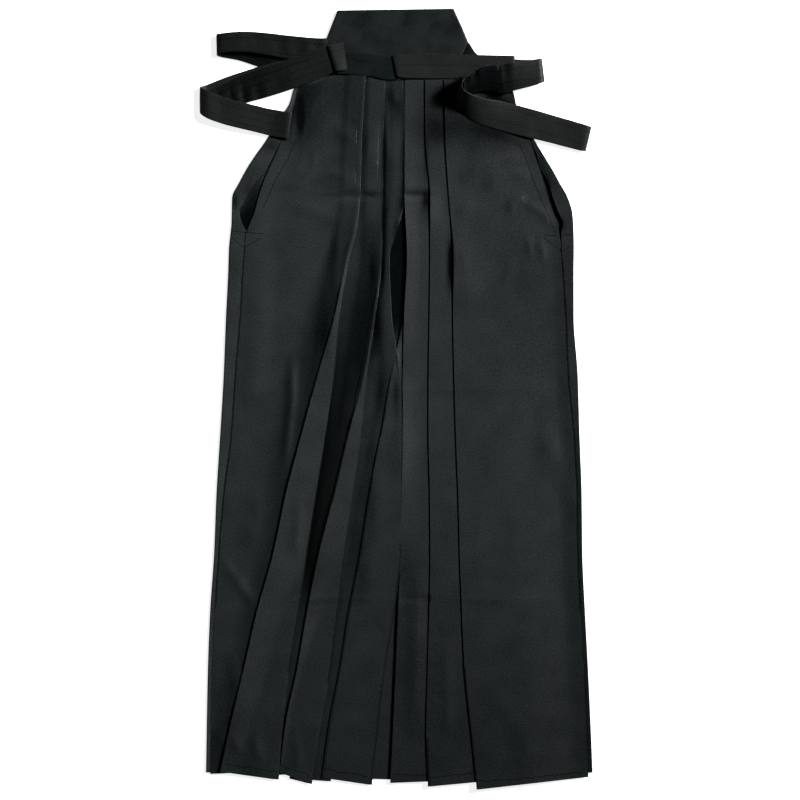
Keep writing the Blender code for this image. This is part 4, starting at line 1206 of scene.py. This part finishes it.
# %% Tables of the ties
# x, y of the edge nearer the board, x, y of the other edge, then the height of each edge at mid wall,
# or only one height where both lie equally high
FRONT_LEFT_STRAP = (
    (-71, 480.6, -66.1, 443.1, 9.8), (-84, 477.7, -74, 442, 11.2), (-91.4, 475.7, -80.9, 441.2, 11.5),
    (-93.6, 475.1, -83, 440.6, 9.6), (-96, 474.4, -85.4, 439.9, 7.8), (-115, 468.1, -104, 433.6, 7.2),
    (-140.9, 458.9, -129.8, 424.4, 6.8), (-163, 453.3, -152, 418.8, 5.6),
    (-187, 447.4, -176.1, 412.9, 3.8), (-206, 441.4, -195, 407, 2), (-227.5, 434.4, -216.4, 399.9, 1.3),
    (-257.3, 422.7, -255.6, 390.6, 1.2), (-264.4, 420.1, -264.4, 385.3, 5),
    (-257.3, 416.6, -257.3, 379, 8.6), (-231.6, 405.8, -235.6, 370.6, 8.8, 8.3),
    (-206, 399, -213, 364.6, 8.6, 7.4), (-190, 395.2, -197, 360.9, 7.9, 6.2),
    (-173.4, 391.1, -181.5, 357.1, 7, 5), (-162.5, 388.8, -170.5, 354.4, 6.6, 4),
    (-150, 386.4, -156, 351.9, 8.2, 4.4), (-145.6, 385.6, -151.6, 351.2, 8.9, 4.8),
    (-141.2, 385.3, -147.2, 349.7, 8.2, 4.4), (-140.2, 385.3, -146.2, 349.7, 6.2, 3.4),
    (-144.2, 385.9, -150.2, 351.2, 4.6, 2.9), (-160, 388.9, -168.4, 354.3, 4.2, 2.5),
    (-175, 391.6, -183, 357.6, 3.7, 2.7), (-192, 395.7, -199, 361.6, 4.3, 3.8),
    (-207, 399.4, -213, 364.8, 5.8), (-235.6, 407.4, -236.9, 373.2, 6.2),
    (-245.6, 413.1, -246, 379.4, 6.2), (-250.6, 415.6, -250.4, 381.2, 5.05),
    (-245.6, 417.6, -246, 382.8, 3.7), (-222, 429.4, -216, 393, 3.75), (-205.9, 436.6, -200, 399.3, 4.4),
    (-187, 442.9, -180.5, 404.5, 6), (-163, 450.8, -154.5, 412.3, 7.8), (-142, 458.3, -134, 419.2, 9.2),
    (-120, 465.6, -112, 427, 9.6), (-95.5, 474.8, -85, 439.6, 10.4),
)
BACK_LEFT_STRAP = (
    (-88.1, 486, -82.9, 462, 1.2), (-96.1, 486, -92.9, 460, 3.8, 3.4), (-110, 486.4, -108, 456, 5.2, 4.2),
    (-126.4, 487.7, -128.7, 454.5, 6.4, 5), (-147.7, 489.8, -148.1, 458.3, 7, 6),
    (-166.9, 492.1, -169.7, 462.6, 7.6, 7), (-190, 494.2, -192, 466.3, 8.2, 8),
    (-210.2, 494.8, -213, 467.6, 8.4), (-227.5, 493.6, -227.5, 466.9, 8, 8.2),
    (-239.4, 492, -238.6, 464.6, 6.8, 7), (-242.4, 491.7, -241.7, 462.5, 4.2, 4.6),
    (-236, 491.4, -236.5, 460.6, 1.7, 2), (-211.3, 491.7, -213, 456.1, 1.2),
    (-181.5, 483.5, -187, 447.7, 1.2), (-150, 473, -157, 438.5, 1.2), (-132, 466.5, -140, 432, 1.2),
)
FRONT_RIGHT_STRAP = (
    (75.6, 461.2, 75.6, 431.5, 7.2), (92, 461.2, 92, 431, 7), (112, 461, 112, 431, 6.5),
    (147, 460.5, 147, 431, 6.3), (157.8, 461.4, 158, 431, 6.3), (159.6, 461.9, 159.8, 431, 7),
    (157.8, 462.3, 158, 431.2, 7.7), (147, 462.5, 147, 431.2, 7.8), (112, 463.3, 112, 431.4, 8),
    (92, 463.8, 92, 431.1, 8.4), (59.3, 464.1, 59.3, 431.3, 8.5), (8, 464.2, 10, 432.2, 8.5),
    (-3, 462.8, 2.4, 433.4, 8.4), (-5.4, 462.3, 0.4, 434.8, 7.85), (-3, 461.8, 2.4, 435, 7.3),
    (8, 461.5, 10, 434, 7.25), (59.3, 461.5, 59.3, 432.5, 7.2),
)
BACK_RIGHT_STRAP = (
    (91, 483.5, 84, 458, 1.2), (97.7, 480.2, 91.2, 456, 2.4), (110.7, 463.6, 105.3, 430.8, 4.3),
    (140.5, 459.9, 137.8, 424, 4.3), (167.6, 457.3, 167.6, 421.3, 2.8), (186.5, 457.3, 189.2, 424.7, 1.5),
    (194, 458.8, 197.4, 427, 2.4), (196.2, 458.9, 200, 427.1, 5.8), (194, 458.6, 197.4, 426, 9.2),
    (186.5, 457, 189.9, 422.9, 10.2), (162.2, 453.9, 159.5, 415.2, 14.4, 9),
    (140.5, 449.1, 144.6, 411, 21, 8.2), (118.9, 447.7, 124.3, 415.9, 27.5, 8),
    (104, 440.3, 102.6, 411.9, 30, 8.6), (92.5, 431.5, 86.4, 408.5, 35, 9.4),
    (88.7, 424.8, 80.3, 404.4, 37, 9.8), (90.3, 417.3, 79.2, 399.7, 37, 9.8),
    (97.9, 410.2, 84.1, 389.5, 34, 9.4), (108, 406.4, 96.4, 378.8, 28, 8.6),
    (119.4, 403.3, 111.7, 370.4, 19.5, 7.8), (140.5, 401, 132.4, 363.8, 10.2, 7.2),
    (162.2, 395.7, 154, 357.7, 6.8), (187.9, 388.8, 178.4, 351.8, 6.6), (214.5, 381.1, 204.8, 345.6, 4.6),
    (242, 373.2, 232.5, 338.4, 3.9), (258, 368.4, 250.5, 334, 3.8), (263.2, 366.4, 255.6, 333.4, 2.6),
)
print("sections of the ties:", [len(FRONT_LEFT_STRAP), len(BACK_LEFT_STRAP), len(FRONT_RIGHT_STRAP),
                                len(BACK_RIGHT_STRAP)])

# %% Puckers and shade on the ties
PUCKERS = {
    # tie: rows of (mm along it, half width along, height, place across 0 to 1, half width across)
    "back_tie_left": (
        (20, 5, 0.48, 0.6, 0.5), (34, 4, -0.54, 0.5, 0.4), (46, 5, 0.54, 0.7, 0.4),
        (60, 4, -0.48, 0.3, 0.5), (73, 5, 0.48, 0.6, 0.5), (88, 6, -0.42, 0.6, 0.4),
        (106, 7, 0.36, 0.3, 0.4), (126, 6, -0.3, 0.6, 0.4),
    ),
    "front_tie_left": (
        (196, 30, 0.4, 0.5, 0.4), (238, 12, -0.4, 0.4, 0.4), (452, 4, 1.33, 0.85, 0.5),
        (461, 3.5, -1.19, 0.75, 0.45), (470, 3.5, 1.33, 0.8, 0.45), (479, 3.5, -1.26, 0.75, 0.5),
        (488, 4, 1.19, 0.85, 0.45), (497, 3.5, -1.12, 0.7, 0.45), (507, 4, 0.98, 0.85, 0.45),
        (517, 4, -0.84, 0.75, 0.4), (528, 5, 0.7, 0.8, 0.4), (545, 6, -0.49, 0.6, 0.5),
        (565, 6, 0.35, 0.5, 0.5),
    ),
    "front_tie_right": (
        (150, 9, 0.25, 0.5, 0.5), (200, 12, 0.3, 0.4, 0.5), (245, 10, -0.25, 0.5, 0.5),
    ),
    "back_tie_right": (
        (262, 16, 0.7, 0.4, 0.4), (300, 12, -0.6, 0.5, 0.5), (340, 14, 0.5, 0.4, 0.4),
        (372, 9, -0.4, 0.6, 0.4), (392, 9, 0.4, 0.5, 0.4),
    ),
}
RIM_PUCKERS = (
    (172, 4, -1.2, 0.1, 0.4), (181, 3.6, 2.4, 0.08, 0.35), (190, 3.6, -2.4, 0.08, 0.35),
    (199, 3.6, 2.6, 0.06, 0.35), (208, 3.6, -2.2, 0.08, 0.35), (217, 4, 1.6, 0.1, 0.35),
)
BOTH_RIMS = 843.0  # the loop's two layers touch where their distances along the tie add up to this
rim_inside = tuple((BOTH_RIMS - at, along, -high, *rest) for at, along, high, *rest in RIM_PUCKERS)
PUCKERS["back_tie_right"] += RIM_PUCKERS + rim_inside

SHADED = {
    # tie: mm along it, and how little light reaches it there, 0 to 1
    "front_tie_left": (
        (0, 0), (190, 0), (200, 0.1), (420, 0.1), (440, 0.75), (500, 0.7), (560, 0.45), (600, 0.3),
        (900, 0.2),
    ),
    "back_tie_left": (
        (0, 0.55), (60, 0.5), (150, 0.35), (165, 0.6), (180, 0.8), (290, 0.9),
    ),
    "front_tie_right": (
        (0, 0), (900, 0),
    ),
    "back_tie_right": (
        (0, 0.7), (8, 0.5), (14, 0.1), (30, 0), (80, 0), (92, 0.35), (104, 0.35), (116, 0),
        (150, 0), (164, 0.3), (174, 0.7), (186, 0.75), (188, 0.35), (214, 0.2), (225, 0), (520, 0),
        (540, 0.75), (592, 0.75), (600, 0.3), (640, 0.3), (655, 0.8), (720, 0.9),
    ),
}
print("puckers:", {name: len(rows) for name, rows in PUCKERS.items()})

# %% [markdown]
# ## Ties as rounded ribbons
# An even curve through sections that are unevenly spaced would overshoot at the folds. The curve used here
# passes through every section and keeps its bends, because its parameter grows with the root of the distance.
# Small puckers are then pushed out along the cloth's own normal, as sewing through three layers draws it up.

# %% Curves through the sections
INNER_FIRST_ROW = 11  # the loop's inner layer starts at this section
LOOP_GAP = 1.9


def full_rows(rows):
    """Sections of six numbers; a section of five has its last height twice."""
    return np.array([row if len(row) == 6 else (*row, row[-1]) for row in rows], float)


def both_edges(rows):
    """A tie's two edges as points, from its sections."""
    return rows[:, [0, 1, 4]], rows[:, [2, 3, 5]]


def through_rows(rows, spacing):
    """A centripetal curve through the rows, sampled about every spacing millimetres."""
    rows = full_rows(rows)
    gaps = np.linalg.norm(np.diff(sum(both_edges(rows)) / 2, axis=0), axis=1)
    knots = np.concatenate([[0], np.cumsum(np.sqrt(gaps))])
    slope = np.diff(rows, axis=0) / np.diff(knots)[:, None]
    bend = np.zeros_like(rows)
    bend[0], bend[-1] = slope[0], slope[-1]
    before, after = np.diff(knots)[:-1, None], np.diff(knots)[1:, None]
    bend[1:-1] = (slope[:-1] * after + slope[1:] * before) / (before + after)
    made = []
    for k, gap in enumerate(gaps):
        count = max(2, int(round(gap / spacing)))
        t = (np.arange(count) / count)[:, None]
        h = knots[k + 1] - knots[k]
        made.append(bent(rows[k], rows[k + 1] - rows[k], bend[k] * h, bend[k + 1] * h, t))
    made.append(rows[-1:])
    return np.vstack(made)


def right_loop_rows():
    """The right back tie's sections, and back again inside its own loop."""
    rows = full_rows(BACK_RIGHT_STRAP)
    first, second = both_edges(rows)
    along = np.gradient((first + second) / 2, axis=0)
    inward = np.cross(along, second - first)
    inward /= np.linalg.norm(inward, axis=1)[:, None]
    inward *= LOOP_GAP
    back = slice(len(rows) - 2, INNER_FIRST_ROW - 1, -1)
    first = np.vstack([first, (first + inward)[back]])
    second = np.vstack([second, (second + inward)[back]])
    return np.column_stack([first[:, :2], second[:, :2], first[:, 2], second[:, 2]])


print("with its inner layer the right back tie has", len(right_loop_rows()), "sections")

# %% Ties
TIE_STEP = 3.0
TIE_THICK = 1.0
TIE_RIM = 0.6  # its edges are rounded over this width
TIE_PLACES = 16  # points across, without those close to the rims


def tie(name, rows, finish):
    """One tie from its sections: edge, edge and the heights of both."""
    first, second = both_edges(rows)
    width = np.linalg.norm(second - first, axis=1).mean()
    u = across_places(width, TIE_PLACES, TIE_RIM)
    grid = first[:, None] * (1 - u)[None, :, None] + second[:, None] * u[None, :, None]
    normal = normals(grid)
    far = distances((first + second) / 2)
    for at, half_width, height, place, spread in PUCKERS[name]:
        lengthwise = np.exp(-(((far - at) / half_width) ** 2))[:, None]
        swell = lengthwise * np.exp(-(((u - place) / spread) ** 2))[None, :]
        grid = grid + normal * (height * swell)[:, :, None]
    shade = smooth(*zip(*SHADED[name]), far)
    thick = np.tile(rim_thickness(u, width, TIE_THICK, TIE_RIM), (len(rows), 1))
    print(name, "is", round(far[-1]), "mm long,", round(width, 1), "wide")
    shell(name, grid, thick, finish, painted_shade=shade[:, None])


for name, sections, finish in (
    ("front_tie_left", FRONT_LEFT_STRAP, three_line_finish),
    ("back_tie_left", BACK_LEFT_STRAP, edge_line_finish),
    ("front_tie_right", FRONT_RIGHT_STRAP, middle_line_finish),
    ("back_tie_right", right_loop_rows(), edge_line_finish),
):
    tie(name, through_rows(sections, TIE_STEP), finish)
print("ties:", {n: len(p.data.polygons) for n, p in pieces.items() if "tie" in n})

# %% [markdown]
# ## Stitches
# The hems, the openings at the sides and the seam below them are sewn with a doubled dark thread. A painted
# line would do from afar, but it has no edge that catches the light. So each stitch is a short thread with
# pointed ends, let down onto whichever cloth lies uppermost there, and it follows the folds.

# %% Lines of stitches
STITCH_LINES = (
    # x, y of the corners that each row of stitches passes
    ((-135.5, 348.9), (-145.8, 324), (-163, 294.3), (-171.5, 275.7), (-180.2, 255.2)),
    ((-212.7, 253.7), (-185.2, 277.5)),
    ((-222.9, 226.1), (-178.4, 221.7)),
    ((-222, 217.4), (-204.9, 203), (-181.8, 217.4)),
    ((162.8, 346.9), (173, 328.9), (183.4, 298.2), (197.1, 265.7), (215.9, 221.7)),
    ((197.9, 219.2), (239, 221.2)),
    ((198.7, 217.4), (223.6, 197.8), (236.6, 207.1)),
)
HEM_STRETCHES = (
    # x, y at the left end of a stretch of hem, x, y at its right end
    (-232, -502.4, -161.5, -513.6),
    (-158, -504, -115.5, -518.6),
    (-97, -510.3, -37.5, -519.8),
    (-4, -516.8, 41.5, -518),
    (46, -521, 105, -515),
    (112, -525.7, 147, -524.4),
    (149, -524.2, 252, -514),
)
HEM_SEWN = 9.5  # above the hem
HEM_WAVES = ((0.5, 5.3), (0.4, 2.9))  # height and length of the waves in a line sewn by hand


def hem_lines():
    """Rows of stitches above each stretch of the hem that shows."""
    lines = []
    for x_start, y_start, x_end, y_end in HEM_STRETCHES:
        x = np.linspace(x_start, x_end, 20)
        y = y_start + (y_end - y_start) * (x - x_start) / (x_end - x_start) + HEM_SEWN
        for height, length in HEM_WAVES:
            y = y + height * np.sin(x / length)
        lines.append(tuple(zip(x, y)))
    return lines


print("rows of stitches:", len(STITCH_LINES), "at the sides,", len(hem_lines()), "along the hem")

# %% Stitches
STITCH_PITCH = 3.0
THREAD = 0.62  # half the width of the doubled thread
STITCH_SHARE = 0.9  # of the pitch is thread, the rest is gap
STITCH_POINTS = ((0.0, 0.3), (0.3, 1.0), (0.7, 1.0), (1.0, 0.3))  # place along a stitch, and thickness
SUNK = 0.05  # how far a thread sinks into the cloth
STEEPEST_STITCH = 1.2  # a stitch that would climb more than this is left out


def let_down(trees, x, y):
    """The highest cloth under a place, in millimetres."""
    hits = [tree.ray_cast((x * MM, y * MM, 0.1), (0, 0, -1))[0] for tree in trees]
    return max((hit.z / MM for hit in hits if hit is not None), default=None)


def sew(name, lines, trees, finish):
    """Stitches along lines of corners, wherever the cloth beneath isn't too steep."""
    vertices, faces = [], []
    for line in lines:
        line = np.array(line, float)
        far = distances(line)
        for start in np.arange(0.4, far[-1] - STITCH_PITCH * 0.6, STITCH_PITCH):
            at = start + STITCH_PITCH * STITCH_SHARE * np.array([share for share, _ in STITCH_POINTS])
            x, y = (np.interp(at, far, line[:, k]) for k in range(2))
            z = [let_down(trees, *place) for place in zip(x, y)]
            if None in z or max(z) - min(z) > STEEPEST_STITCH:
                continue
            turn = np.array([y[0] - y[-1], x[-1] - x[0]]) / max(math.hypot(x[-1] - x[0], y[-1] - y[0]), 0.01)
            first = len(vertices)
            for k, (_, wide) in enumerate(STITCH_POINTS):
                side, high = turn * THREAD * wide, z[k] - SUNK
                vertices += [(x[k] + side[0], y[k] + side[1], high), (x[k], y[k], high + 0.6 * THREAD * wide),
                             (x[k] - side[0], y[k] - side[1], high), (x[k], y[k], high - THREAD * wide)]
            for k in range(3):
                a = first + 4 * k
                faces += [(a + j, a + (j + 1) % 4, a + 4 + (j + 1) % 4, a + 4 + j) for j in range(4)]
            faces += [tuple(range(first, first + 4)), tuple(range(first + 12, first + 16))]
    print(name, "has", len(faces) // 14, "stitches")
    new_piece(name, vertices, faces, None, finish)


THREAD_TINT = (0.0010, 0.0014, 0.0014)
thread_finish = twill("thread", THREAD_TINT, grain=0.1, roughness=0.7, gloss=0.02)
trees = []
for mesh in (pieces[name].data for name in pieces if name.endswith("_panel")):
    trees.append(BVHTree.FromPolygons([v.co for v in mesh.vertices], [p.vertices[:] for p in mesh.polygons]))
sew("stitches", list(STITCH_LINES) + hem_lines(), trees, thread_finish)

# %% [markdown]
# ## What each piece stands for
# The packed solids are hidden, and the finer cloth stands for them. A piece of cloth keeps its area however
# it is folded, so each is listed with the flat size that it was cut to, and its area is printed beside that.
# The stitches only ride along.

# %% Pieces in the place of the packed parts
DECLARED = {
    # piece: node, slot, flat width, flat length, share of that rectangle, how it is held, what it lies on
    "front_left_panel": ("front_left", "body_cloth", 0.62, 0.96, 0.9, "folded", ["back_left_panel"]),
    "front_right_panel": ("front_right", "body_cloth", 0.44, 0.96, 0.9, "folded", ["back_right_panel"]),
    "back_left_panel": ("back_left", "body_cloth", 0.32, 0.98, 0.8, "laid", []),
    "back_right_panel": ("back_right", "body_cloth", 0.32, 0.98, 0.8, "laid", []),
    "gusset_left_panel": ("gusset_left", "body_cloth", 0.036, 0.45, 0.5, "folded", []),
    "gusset_right_panel": ("gusset_right", "body_cloth", 0.05, 0.45, 0.5, "folded", []),
    "board_cover": ("back_board", "board_cloth", 0.19, 0.068, 0.9, "laid", []),
    "band_cover": ("front_band", "strap_cloth", 0.16, 0.035, 0.9, "laid", ["board_cover"]),
    "front_tie_left": ("strap_front_left", "strap_cloth", 0.037, 0.62, 1.0, "folded", ["front_left_panel"]),
    "back_tie_left": ("strap_back_left", "strap_cloth", 0.031, 0.27, 1.0, "folded", ["board_cover"]),
    "front_tie_right": ("strap_front_right", "strap_cloth", 0.031, 0.33, 1.0, "folded",
                        ["front_right_panel"]),
    "back_tie_right": ("strap_back_right", "strap_cloth", 0.036, 0.7, 1.0, "folded", ["front_right_panel"]),
}
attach(pieces["stitches"], "root")
for name, (node, cloth_slot, width, length, share, held, on) in DECLARED.items():
    piece = pieces[name]
    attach(piece, "root")
    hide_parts(node)
    piece.data.calc_loop_triangles()
    cloth = sum(polygon.area for polygon in piece.data.polygons) / 2
    flat = share * width * length
    print(f"{name}: {len(piece.data.loop_triangles)} triangles, {cloth:.4f} m2 of cloth, flat {flat:.4f}")

# %% [markdown]
